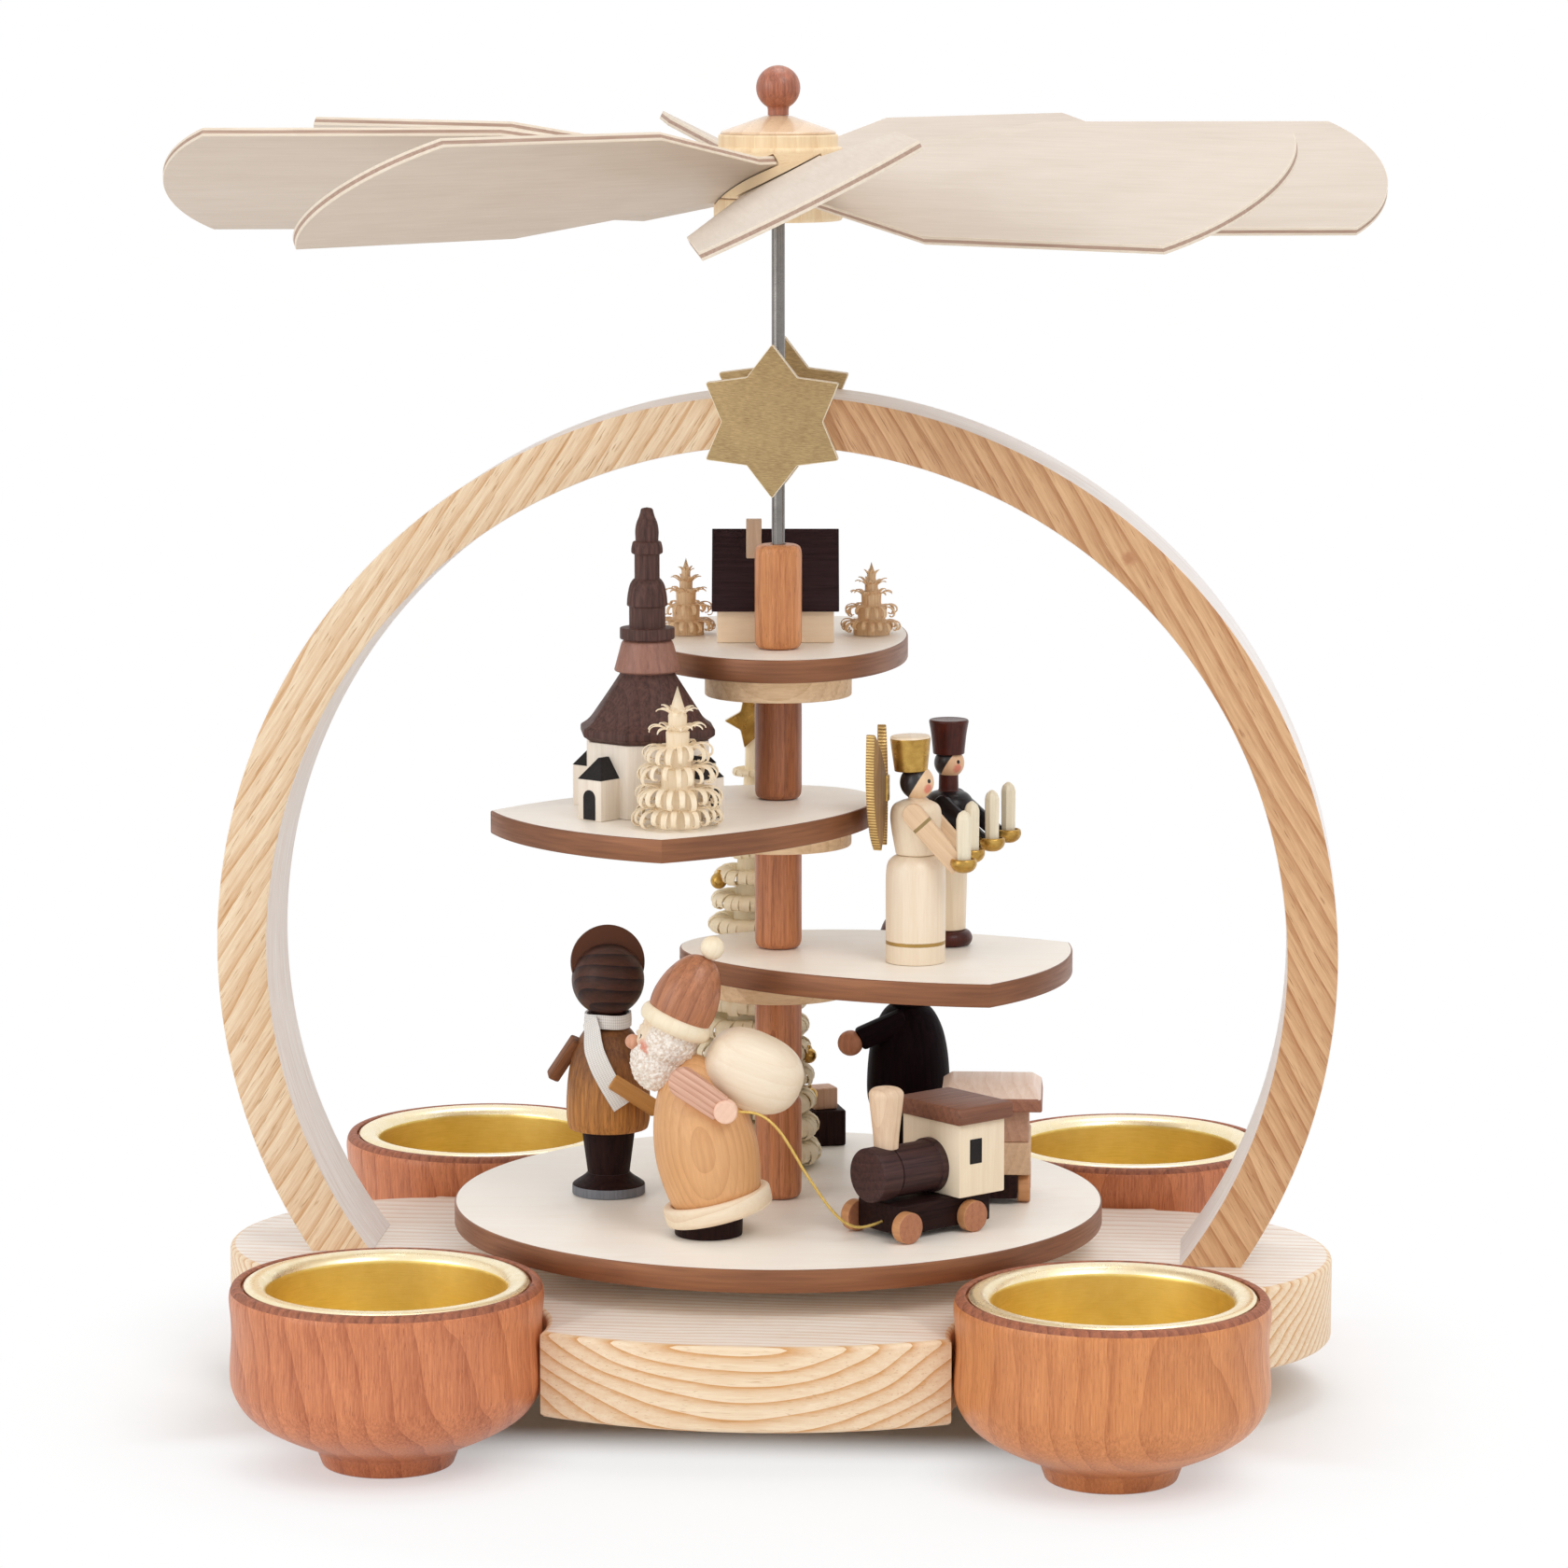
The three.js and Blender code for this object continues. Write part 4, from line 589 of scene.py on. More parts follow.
# Each wood: light and dark colour, ring width in mm, strength of the rings, strength of the fibres,
# roughness, and what else sets it apart
WOODS = {
    "ash": ((250, 231, 200), (212, 154, 90), 1.7, 0.85, 0.4, 0.5, dict(ASH, crisp=3.2, coat=0.3)),
    # A paler copy of the ash for the base's top face: painted sheen of the lacquer seen at a grazing angle.
    "ash_top": ((255, 250, 242), (214, 172, 134), 1.7, 0.6, 0.36, 0.5,
                dict(ASH, pores=0.3, crisp=2.6, coat=0.4)),
    "ash_left": ((248, 229, 198), (204, 152, 98), 2.9, 0.55, 0.62, 0.5, dict(ARCH_ASH, pores=0.8, crisp=3.0)),
    "ash_right": ((230, 188, 142), (172, 114, 66), 3.1, 0.55, 0.62, 0.5,
                  dict(ARCH_ASH, pores=0.7, crisp=2.6, marks=(KNOT,))),
    "cup_cherry": ((228, 146, 96), (160, 80, 44), 4.8, 0.34, 0.72, 0.42,
                   dict(CUP, pores=0.6, pith=(34, 10), lean=0.16)),
    "cup_golden": ((228, 152, 92), (166, 90, 40), 4.8, 0.32, 0.66, 0.42,
                   dict(CUP, pores=0.5, pith=(30, 14), lean=0.22)),
    "cup_rim": ((188, 114, 80), (124, 70, 48), 2.0, 0.45, 0.8, 0.6, dict(pores=0.4, relief=0.5)),
    "star_edge": ((250, 240, 218), (226, 206, 172), 2.0, 0.2, 0.5, 0.5),
    "maple": ((252, 230, 192), (224, 184, 134), 3.0, 0.3, 0.45, 0.45, dict(relief=0.2, pith=(24, 5))),
    "maple_gloss": ((238, 206, 168), (204, 164, 124), 3.0, 0.3, 0.4, 0.3, dict(relief=0.1, coat=0.7)),
    "groove": ((170, 132, 96), (120, 88, 62), 2.0, 0.45, 0.5, 0.6),
    "finial": ((198, 122, 92), (118, 66, 48), 1.6, 0.3, 0.75, 0.4,
               dict(pores=0.6, relief=0.2, coat=0.15, fine=1.3)),
    "blade_face": ((218, 205, 191), (200, 184, 168), 5.5, 0.1, 0.4, 0.6,
                   dict(relief=0.2, pith=(60, 2), lean=0.02, blotch=0.3, spec=0.25)),
    "washer_wood": ((246, 216, 178), (204, 164, 122), 2.4, 0.3, 0.7, 0.55,
                    dict(relief=0.3, pith=(40, 2), blotch=0.2)),
    "ply_pale": ((240, 228, 210), (220, 202, 180), 2.0, 0.1, 0.8, 0.62, PLY),
    "ply_dark": ((194, 164, 146), (160, 130, 112), 2.0, 0.1, 0.9, 0.65, PLY),
    "tier_face": ((255, 249, 239), (245, 232, 217), 6.0, 0.12, 0.35, 0.5,
                  dict(relief=0.2, pith=(70, 3), lean=0.015, blotch=0.2, coat=0.35, coat_rough=0.3)),
    # Lit and shaded copies of the post wood: the pale one paints light on the top post, the deep one paints
    # shade on the post under the top tier.
    "post_pale": ((240, 168, 108), (170, 98, 52), 1.9, 0.3, 0.7, 0.42, POST),
    "post_deep": ((188, 118, 76), (116, 64, 38), 1.9, 0.3, 0.75, 0.42, POST),
    "post_wood": ((216, 142, 92), (138, 76, 44), 1.9, 0.3, 0.7, 0.42, POST),
    "wall_wood": ((255, 232, 200), (240, 210, 176), 3.0, 0.2, 0.5, 0.55),
    "chimney_wood": ((224, 192, 162), (196, 160, 130), 2.0, 0.2, 0.5, 0.55),
    "church_wall": ((246, 235, 220), (224, 208, 190), 2.5, 0.25, 0.5, 0.55),
    "wenge": ((60, 40, 43), (38, 24, 27), 1.6, 0.12, 0.8, 0.55,
              dict(pores=0.3, pore_tint=0.7, relief=0.4, spec=0.1)),
    "stained_beech": ((108, 76, 68), (58, 40, 38), 2.0, 0.25, 0.9, 0.52, dict(DULL, fine=1.2, spec=0.2)),
    "bell_wood": ((164, 116, 98), (116, 78, 66), 2.0, 0.2, 0.6, 0.5, dict(relief=0.3)),
    "shaving": ((253, 240, 216), (238, 210, 168), 2.4, 0.2, 0.6, 0.55, CURL),
    # A lighter copy of the shaving wood for the tall tree at the back: painted light that offsets the shade
    # it lies in.
    "far_shaving": ((255, 244, 216), (250, 228, 186), 2.4, 0.2, 0.5, 0.6, CURL),
    "small_shaving": ((248, 222, 184), (214, 168, 120), 2.4, 0.3, 0.8, 0.55, dict(CURL, fine=2.4)),
    "figure_cream": ((246, 229, 202), (226, 198, 164), 2.2, 0.2, 0.4, 0.4, dict(relief=0.18, coat=0.15)),
    "candle_wood": ((242, 232, 208), (220, 206, 174), 2.0, 0.1, 0.5, 0.5, dict(relief=0.2)),
    "bearer_coat": ((232, 180, 126), (192, 132, 82), 1.15, 0.32, 0.4, 0.45,
                    dict(relief=0.2, pith=(0, 30), lean=0.07, blotch=0.1, crisp=2.4)),
    "bearer_hat": ((196, 130, 90), (120, 68, 44), 2.2, 0.32, 0.6, 0.42,
                   dict(pores=0.4, relief=0.25, pith=(14, 3), coat=0.1, crisp=2.6)),
    "bearer_brim": ((250, 238, 212), (232, 210, 174), 3.0, 0.2, 0.4, 0.45),
    "bearer_sleeve": ((236, 192, 168), (192, 136, 110), 1.1, 0.6, 0.6, 0.5, dict(relief=0.6, pith=(12, 2))),
    "bearer_hem": ((249, 233, 208), (226, 196, 160), 2.2, 0.5, 0.35, 0.5, dict(relief=0.25, pith=(3, 1))),
    "bearer_sack": ((249, 235, 212), (228, 202, 168), 2.6, 0.2, 0.35, 0.42,
                    dict(relief=0.15, pith=(9, 2), coat=0.1)),
    "hand_wood": ((248, 210, 186), (228, 182, 156), 1.2, 0.2, 0.3, 0.5),
    "nose_wood": ((226, 170, 138), (196, 134, 104), 0.8, 0.3, 0.5, 0.4),
    "dark_stain": ((50, 29, 25), (27, 15, 15), 1.4, 0.3, 0.9, 0.5, dict(DULL, spec=0.08)),
    "child_hair": ((88, 56, 44), (38, 26, 27), 1.9, 0.8, 0.45, 0.42,
                   dict(relief=0.3, pith=(3, 15), lean=0.1, spec=0.2)),
    "child_cap": ((112, 68, 46), (62, 37, 28), 1.4, 0.3, 0.8, 0.5, dict(pith=(3, 15), spec=0.2)),
    "child_coat": ((214, 144, 66), (126, 76, 28), 1.3, 0.25, 0.9, 0.5,
                   dict(DULL, pores=0.5, fine=1.3, shade=(15, 27, (0.42, 0.36, 0.36, 1)))),
    "child_arm": ((150, 94, 56), (90, 54, 34), 1.3, 0.3, 0.9, 0.5, dict(relief=0.4, spec=0.3)),
    "tan_arm": ((200, 140, 68), (150, 98, 42), 1.2, 0.3, 0.6, 0.5),
    "slate_rim": ((128, 130, 136), (88, 90, 98), 2.0, 0.2, 0.7, 0.6),
    "coal_stain": ((30, 17, 21), (15, 8, 11), 1.4, 0.3, 0.8, 0.5, dict(spec=0.04)),
    "red_cap": ((118, 62, 48), (66, 34, 30), 1.6, 0.4, 0.7, 0.45, dict(spec=0.3)),
    "loco_wood": ((84, 56, 53), (42, 28, 30), 1.6, 0.3, 0.8, 0.5, dict(spec=0.22)),
    "brown_hand": ((202, 138, 102), (160, 100, 72), 1.2, 0.3, 0.6, 0.5),
    "loco_chimney": ((242, 217, 188), (212, 176, 144), 1.8, 0.3, 0.55, 0.5),
    "wheel_wood": ((190, 126, 90), (148, 92, 64), 1.6, 0.25, 0.6, 0.5),
    "tyre_wood": ((210, 152, 102), (170, 114, 74), 1.0, 0.2, 0.5, 0.5),
    "cab_wood": ((253, 237, 210), (235, 214, 184), 2.5, 0.2, 0.4, 0.5),
    "cab_roof": ((142, 90, 66), (88, 52, 38), 1.6, 0.3, 0.6, 0.5),
    "wagon_top": ((250, 230, 216), (226, 194, 174), 1.8, 0.3, 0.6, 0.5),
    "wagon_side": ((168, 112, 86), (120, 74, 58), 1.6, 0.35, 0.6, 0.5),
    "wagon_high": ((202, 158, 132), (168, 124, 100), 1.6, 0.3, 0.6, 0.5),
    "wagon_low": ((222, 188, 154), (190, 152, 118), 1.6, 0.3, 0.6, 0.5),
    "wing_face": ((176, 140, 96), (128, 94, 62), 1.4, 0.3, 0.6, 0.45),
    "tan_box": ((210, 170, 144), (172, 128, 102), 1.2, 0.3, 0.6, 0.5),
}

# Each metal: bright and worn colour, roughness, fineness of the brushing, strength of the streaks, and more
METALS = {
    "brass_sheet": ((238, 212, 130), (220, 190, 100), 0.36, (0.25, 0.25, 5), 0.55, dict(metallic=0.85)),
    # A paler, near-white copy of the insert's brass for its flange: painted reflection of the white
    # surroundings, on top of the real reflection of its metal.
    "brass_flange": ((252, 238, 202), (240, 218, 170), 0.27, (0.5, 0.5, 0.5), 0.5,
                     dict(metallic=0.8, patches=0.05, relief=0.05)),
    "steel_rod": ((134, 130, 126), (98, 94, 92), 0.18, (0.7, 0.7, 12), 0.25),
    "steel_cup": ((170, 170, 174), (130, 130, 136), 0.25, (0.7, 0.7, 4), 0.4, dict(own_place=True)),
    "brass_bush": ((222, 186, 104), (190, 150, 78), 0.3, (0.6, 0.6, 4), 0.4, dict(own_place=True)),
    "star_face": ((196, 168, 120), (146, 118, 78), 0.42, (0.8, 6, 6), 0.75,
                  dict(metallic=0.5, relief=0.3, patches=0.2)),
    "gold_lacquer": ((205, 166, 88), (150, 112, 52), 0.3, (0.6, 0.6, 1.4), 0.4,
                     dict(metallic=0.9, patches=0.6)),
    "gold_thread": ((236, 204, 120), (196, 158, 76), 0.3, (8, 8, 2), 0.6, dict(metallic=0.75, relief=0.8)),
}

# Each paint: colour, its shade, roughness, weight of the clear coat and strength of the shine
PAINTS = {
    "black_paint": ((30, 25, 26), (16, 13, 14), 0.45, 0.0, 0.25),
    "jacket_paint": ((28, 21, 25), (14, 10, 12), 0.3, 0.15, 0.2),
    "hat_paint": ((84, 32, 22), (46, 18, 14), 0.28, 0.12, 0.2),
}

M = {"bent": bent_ash(), "wing": ribbed_gold(), "bronze": bronze_edge(), "weave": woven_silver()}
for finish, table in ((wood, WOODS), (metal, METALS)):
    for name, row in table.items():
        *values, more = row if isinstance(row[-1], dict) else (*row, {})
        M[name] = finish(name, *values, **more)
for name, row in PAINTS.items():
    M[name] = paint(name, *row)


# Tow cord: its route is the part's own, height above the lowest tier's top

CORD_POINTS = [
    (-6.75, -38.2, 23.0), (-5.2, -38.5, 23.0), (-3.7, -38.8, 22.8), (-2.3, -39.0, 22.2), (-0.9, -39.2, 21.1),
    (0.5, -39.2, 19.5), (1.8, -39.2, 17.5), (3.1, -39.1, 15.3), (4.4, -39.0, 13.0), (5.8, -38.8, 10.8),
    (7.2, -38.5, 8.6), (8.6, -38.2, 6.6), (10.0, -37.7, 4.9), (11.4, -37.1, 3.6), (12.8, -36.4, 2.8),
    (14.2, -35.6, 2.5), (15.6, -34.8, 2.6), (16.8, -33.95, 2.8), (17.68, -33.2, 3.0),
]
CORD_DIAMETER, CORD_TWIST = 0.55, 1.9


def smooth_path(points, steps):
    """Points on a smooth curve through the given ones."""
    points = [Vector(p) for p in (points[0], *points, points[-1])]
    out = []
    for p0, p1, p2, p3 in zip(points, points[1:], points[2:], points[3:]):
        for t in (k / steps for k in range(steps)):
            out.append(0.5 * (2 * p1 + (p2 - p0) * t + (2 * p0 - 5 * p1 + 4 * p2 - p3) * t * t
                              + (3 * p1 - p0 - 3 * p2 + p3) * t ** 3))
    return out + [points[-1]]


def tow_cord():
    """Two strands of metallic thread, twisted about the cord's line."""
    line = smooth_path([(x, y, z + TIER_TOPS[1]) for x, y, z in CORD_POINTS], 6)
    run, facets, points, stock, side = 0.0, 16, [], [], Vector((0, 0, 1))
    for i, p in enumerate(line):
        run += (p - line[max(i - 1, 0)]).length
        ahead = (line[min(i + 1, len(line) - 1)] - line[max(i - 1, 0)]).normalized()
        side = (side - ahead * side.dot(ahead)).normalized()
        up = ahead.cross(side)
        for a in (2 * math.pi * k / facets for k in range(facets)):
            strand = a - 2 * math.pi * run / CORD_TWIST
            radius = CORD_DIAMETER / 2 * (0.9 + 0.1 * math.cos(2 * strand))
            points.append(p + side * (radius * math.cos(a)) + up * (radius * math.sin(a)))
            stock.append(Vector((math.cos(strand), math.sin(strand), run)))
    form = Form(points, bands(facets, len(line)) + caps(facets, len(line)), None, stock)
    cord = make("tow_cord_thread", form, "gold_thread", "rotor", "tow_cord", "gold_cord", ROTOR, sharp=80)
    route = [list((ROTOR @ p) * MM) for p in line]
    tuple(route[0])


tow_cord()


# Stand

CUPS = {"front_left": (-60.30, -62.01), "front_right": (60.30, -62.01), "rear_left": (-60.30, 62.01),
        "rear_right": (60.30, 62.01)}
BASE_LOW, BASE_TOP, BASE_CHAMFER, BASE_POINTS = 9.5, 24.0, 0.9, 1440
DISC_RADIUS, LOBE_RADIUS, LOBE_X, NOTCH_RADIUS = 75.0, 35, 62.3, 26.6
BEARING_HOLE, BEARING_FLOOR = 3.3, 19.2


def base_outline(shrink):
    """Disc and side lobes, with a round notch for each cup."""
    out = []
    for i in range(BASE_POINTS):
        ray = Vector(polar(1, 360 * i / BASE_POINTS))
        reach = DISC_RADIUS - shrink
        for x in (-LOBE_X, LOBE_X):
            off = abs(ray.y * x)
            if off < LOBE_RADIUS - shrink:
                reach = max(reach, ray.x * x + math.sqrt((LOBE_RADIUS - shrink) ** 2 - off ** 2))
        for x, y in CUPS.values():
            ahead = ray.dot(Vector((x, y)))
            off_squared, notch = x * x + y * y - ahead * ahead, NOTCH_RADIUS + shrink
            if ahead > 0 and off_squared < notch ** 2:
                reach = min(reach, ahead - math.sqrt(notch ** 2 - off_squared))
        out.append(ray * reach)
    return out


def build_base():
    turns = [math.radians(30 * k) for k in range(4)]
    rims = [(BASE_CHAMFER * (1 - math.sin(a)), BASE_LOW + BASE_CHAMFER * (1 - math.cos(a))) for a in turns]
    rims += [(d, BASE_LOW + BASE_TOP - z) for d, z in reversed(rims)]
    points = [(p.x, p.y, z) for d, z in rims for p in base_outline(d)]
    for radius, z in ((BEARING_HOLE, BASE_TOP), (BEARING_HOLE, BEARING_FLOOR), (0.4, BEARING_FLOOR)):
        points += [(*polar(radius, 360 * i / BASE_POINTS), z) for i in range(BASE_POINTS)]
    rows = len(rims) + 3
    faces = bands(BASE_POINTS, rows) + caps(BASE_POINTS, rows)
    # The top faces take the paler copy of the ash, which is a painted sheen.
    tones = [int(all(points[i][2] > BASE_TOP - 0.01 for i in face)) for face in faces]
    make("base_board", Form(points, faces, tones).grained(GRAIN_ALONG_X), ["ash", "ash_top"], "stand",
         "base_plate", "ash_wood", spin=0)


ARCH_CENTRE, ARCH_OUT, ARCH_IN, ARCH_FOOT, ARCH_HALF_WIDTH = 77.5, 97.5, 88.7, 24.05, 11


def build_arch():
    """Two halves, each with straight grain of its own, that meet under the stars."""
    half, deep, steps, top = ARCH_HALF_WIDTH, ARCH_OUT - ARCH_IN, 90, math.pi / 2 - 0.0002
    section = soften([(-half, 0, 0.35, 1), (half, 0, 0.35), (half, deep, 0.35, 1), (-half, deep, 0.35)],
                     closed=True, steps=2)
    outer, inner = (-math.asin((ARCH_CENTRE - ARCH_FOOT) / radius) for radius in (ARCH_OUT, ARCH_IN))
    for name, side, slope in (("left", -1, 57), ("right", 1, 120)):
        points = []
        for t in (k / steps for k in range(steps + 1)):
            a, b = outer + (top - outer) * t, inner + (top - inner) * t
            out = Vector((side * ARCH_OUT * math.cos(a), ARCH_CENTRE + ARCH_OUT * math.sin(a)))
            into = Vector((side * ARCH_IN * math.cos(b), ARCH_CENTRE + ARCH_IN * math.sin(b)))
            for y, depth, _ in section:
                p = into.lerp(out, depth / deep)
                points.append((p.x, y, p.y))
        faces = bands(len(section), steps + 1) + caps(len(section), steps + 1)
        tones = [tone for _, _, tone in section] * steps + [0, 0]
        bore = lathe([(0, 150), (2.9, 150), (2.9, 190), (0, 190)], 32)
        half_arch = Form(points, faces, tones).grained(tilt(slope - 90))
        make(f"arch_{name}", half_arch, [f"ash_{name}", "bent"], "stand", "arch", "ash_wood", cuts=[bore],
             spin=0)


def build_stars():
    points = [(*polar(8.7 if i % 2 else 13.2, 90 + 30 * i), 0.2 if i % 2 else 0.5) for i in range(12)]
    for name, y in (("front", -12.15), ("rear", 12.15)):
        star = standing(prism(soften(points, closed=True, steps=3), -1.1, 1.1, 0.12, side_tone=1, steps=2))
        make(f"star_plate_{name}", star, ["star_face", "star_edge"], "stand", f"star_{name}", "gold_star",
             at(0, y, 170.6), sharp=25)


def build_cup(corner, place):
    cup = [(0, 0), (10.9, 0, 0.5), (12.0, 3.0, 0.5), (13.7, 3.9, 1), (19.5, 6.5, 3), (23.8, 9.3, 3),
           (26.0, 13.2, 3), (26.3, 16.4, 3), (25.7, 23.0, 4), (26.25, 28.8, 1.2), (26.0, 30.0, 0.4, 1),
           (25.5, 30.9, 0.5, 1), (24.5, 31.0, 0.2, 1), (24.2, 30.8, 0.1, 1), (24.2, 30.0), (20.9, 30.0),
           (20.9, 17.5), (0, 17.5)]
    sheet = [(0, 17.8), (19.2, 17.8, 1), (20.6, 19.2, 1), (20.6, 30.25, 0.2), (23.4, 30.25, 0.4),
             (23.9, 30.65, 0.3, 1), (23.1, 31.2, 0.8, 1), (21.0, 31.0, 0.9, 1), (20.0, 29.8, 0.6),
             (20.0, 19.8, 1), (18.6, 18.4, 1), (0, 18.4)]
    look = "cup_golden" if corner == "front_right" else "cup_cherry"
    make(f"cup_{corner}", lathe(cup, 96), [look, "cup_rim"], "stand", f"candle_cup_{corner}", "cup_wood",
         at(*place, turn=40 if "left" in corner else 130))
    # The flange takes the paler brass, a painted reflection.
    make(f"insert_{corner}", lathe(sheet, 96), ["brass_sheet", "brass_flange"], "stand",
         f"light_insert_{corner}", "brass_sheet", at(*place), sharp=50)


build_base()
build_arch()
build_stars()
for corner, place in CUPS.items():
    build_cup(corner, place)


# Spindle, fan and posts

BLADE_COUNT, BLADE_HEIGHT, BLADE_PITCH, FAN_PHASE, FAN_RADIUS = 8, 211.4, 26.6, 3, 105.2
HALF_CHORD, HALF_ROOT, ROOT_X, FLARE_END, TIP_SAGITTA = 19.1, 7.8, 8.4, 47.6, 7.7
FINIAL_RADIUS, FINIAL_HEIGHT = 3.8, 226.9


def build_fan():
    def fan_piece(name, path, looks, node, slot, facets, **more):
        make(name, lathe(path, facets), looks, "rotor", node, slot, ROTOR, **more)

    places = [at(0, 0, BLADE_HEIGHT, FAN_PHASE + 45 * i) @ tilt(BLADE_PITCH, "X") for i in range(BLADE_COUNT)]
    slots = [prism([(8.15, -8.1), (30, -8.1), (30, 8.1), (8.15, 8.1)], -1.05, 1.05).moved(p) for p in places]
    neck = [(0, 222.2), (1.8, 222.2), (1.8, 223.2, 0.2)]
    round_top = arc(FINIAL_RADIUS, -60, 84, 24, (0, FINIAL_HEIGHT)) + [(0, FINIAL_HEIGHT + FINIAL_RADIUS)]
    hub = [(0, 204.2), (11.1, 204.2, 0.7), (11.1, 207.9, 0.15), (10.95, 208.05, 0, 1), (10.95, 208.25, 0),
           (11.1, 208.4, 0.15), (11.1, 216.8, 0.7), (10.3, 216.8, 0.2), (10.3, 219.0, 0.4), (0, 219.0)]
    fan_piece("spindle_rod", [(0, 21.3), (1.15, 23.8, 0.2), (1.15, 214.5, 0.1), (0, 214.6)], "steel_rod",
              "spindle", "steel_rod", 32)
    fan_piece("hub_turned", hub, ["maple", "groove"], "fan_hub", "maple_hub", 96, cuts=slots)
    fan_piece("cap_turned", [(0, 219.05), (9.9, 219.05), (9.9, 219.45, 0.3), (2.1, 222.15, 0.5), (0, 222.15)],
              "maple_gloss", "hub_cap", "maple_hub", 64)
    fan_piece("finial_turned", neck + round_top, "finial", "finial_ball", "reddish_ball", 48, sharp=40)
    tip = (HALF_CHORD ** 2 + TIP_SAGITTA ** 2) / (2 * TIP_SAGITTA)
    half = math.degrees(math.asin(HALF_CHORD / tip))
    edge = [(ROOT_X, HALF_ROOT), (12.6, HALF_ROOT), (FLARE_END, HALF_CHORD)]
    outline = [(x, -y) for x, y in edge] + arc(tip, -half, half, 28, (FAN_RADIUS - tip, 0)) + edge[::-1]
    for i, place in enumerate(places):
        blade = prism(outline, -0.8, 0.8, 0.1, layers=[(-0.3, 2), (0.3, 1)], side_tone=1, steps=2)
        make(f"blade_{i + 1}", blade.grained(GRAIN_ALONG_X), ["blade_face", "ply_pale", "ply_dark"], "rotor",
             f"fan_blade_{i + 1}", "birch_ply", ROTOR @ place, sharp=25)


def build_posts():
    path = [(1.4, 0), (3.0, 0, 0.3), (3.8, 0.35, 0.6), (4.1, 1.3, 0.8), (4.1, 16.9, 0.8), (3.8, 17.85, 0.6),
            (3.0, 18.2, 0.3), (1.4, 18.2)]
    # The post under the top tier takes the painted shade copy of the wood, and the top post takes the painted
    # light copy.
    posts = (("lower", 32.85, "post_wood"), ("lower_second", 51.1, "post_wood"),
             ("middle", 77.45, "post_wood"), ("upper", 103.8, "post_deep"), ("top", 130.15, "post_pale"))
    for i, (name, bottom, look) in enumerate(posts):
        make(f"post_{name}_turned", lathe(path, 64, ring=True), look, "rotor", f"post_{name}", "post_wood",
             ROTOR @ at(0, 0, bottom, 70 * i))


# Tiers and washers

ROUND_TIER_RADIUS, PETAL_REACH, PETAL_CENTRE, PETAL_LONG, PETAL_WIDE = 57, 51.5, 27.0, 44.5, 25.0
TIER_ANGLES = {1: 0, 2: 340, 3: 222, 4: 94.5}


def petal_outline():
    """An ellipse about a centre beside the spindle, cut off by a circle about the spindle."""
    a, b, centre, reach = PETAL_LONG, PETAL_WIDE, PETAL_CENTRE, PETAL_REACH
    qa, qb = 1 / a ** 2 - 1 / b ** 2, -2 * centre / a ** 2
    qc = centre ** 2 / a ** 2 + reach ** 2 / b ** 2 - 1
    x = (-qb - math.sqrt(qb ** 2 - 4 * qa * qc)) / (2 * qa)
    y = math.sqrt(reach ** 2 - x ** 2)
    outer, side = math.degrees(math.atan2(y, x)), math.degrees(math.atan2(y / b, (x - centre) / a))
    return arc(reach, -outer, outer, 60)[:-1] + arc(a, side, 360 - side, 180, (centre, 0), b / a)[:-1]


def build_tiers():
    bore = lathe([(0, -10), (1.4, -10), (1.4, 10), (0, 10)], 24)
    for tier, angle in TIER_ANGLES.items():
        outline = arc(ROUND_TIER_RADIUS, 0, 360, 240)[:-1] if tier == 1 else petal_outline()
        face = prism(outline, -4, 0, 0.3, side_tone=1, steps=2).grained(GRAIN_ALONG_X @ tilt(angle, "Z"))
        make(f"tier_board_{tier}", face, ["tier_face", "bronze"], "rotor", f"tier_{tier}", "tier_ply",
             ROTOR @ at(0, 0, TIER_TOPS[tier], angle), cuts=[bore], sharp=28)
        if tier > 1:
            disc = prism(arc(12.8, 0, 360, 96)[:-1], -2, 2, 0.3).grained(GRAIN_ALONG_X)
            make(f"washer_board_{tier}", disc, "washer_wood", "rotor", f"washer_{tier}", "birch_ply",
                 ROTOR @ at(0, 0, TIER_TOPS[tier] - 6.05), cuts=[bore], sharp=28)


build_fan()
build_posts()
build_tiers()


# Curled-shaving trees

def curl_path(turn, steps, start):
    """One shaving in the radial plane: out of the trunk, over and down, then back in, tighter at its end."""
    points, x, z, heading = [(0.0, 0.0)], 0.0, 0.0, start
    weights = [0.25 + 1.6 * (k / steps) ** 1.2 for k in range(steps)]
    scale = turn / sum(weights)
    for k in range(steps):
        heading -= weights[k] * scale
        dx, dz = polar(1.0 - 0.45 * k / steps, heading)
        x, z = x + dx, z + dz
        points.append((x, z))
    widest = max(p[0] for p in points)
    return [(p[0] / widest, p[1] / widest) for p in points]


def curls(rng, height, core, reach, count, turn, width, thickness, start, steps, taper, vary):
    """A ring of shavings round the trunk at one height."""
    whole = Form([], [])
    for i in range(count):
        size = (reach - core) * rng.uniform(1.0 - vary, 1.04)
        bend, rise = turn * rng.uniform(1 - 1.3 * vary, 1 + vary), start + rng.uniform(-80, 80) * vary
        path = [(core + x * size, z * size) for x, z in curl_path(bend, steps, rise)]
        strip = ribbon(path, width * rng.uniform(0.85, 1.1), thickness, taper)
        strip.grained(Matrix.Translation((rng.uniform(-9, 9), rng.uniform(-9, 9), rng.uniform(0, 90))))
        strip.moved(at(0, 0, height + rng.uniform(-0.12, 0.12), 360 * (i + rng.uniform(-0.18, 0.18)) / count))
        whole += strip
    return whole


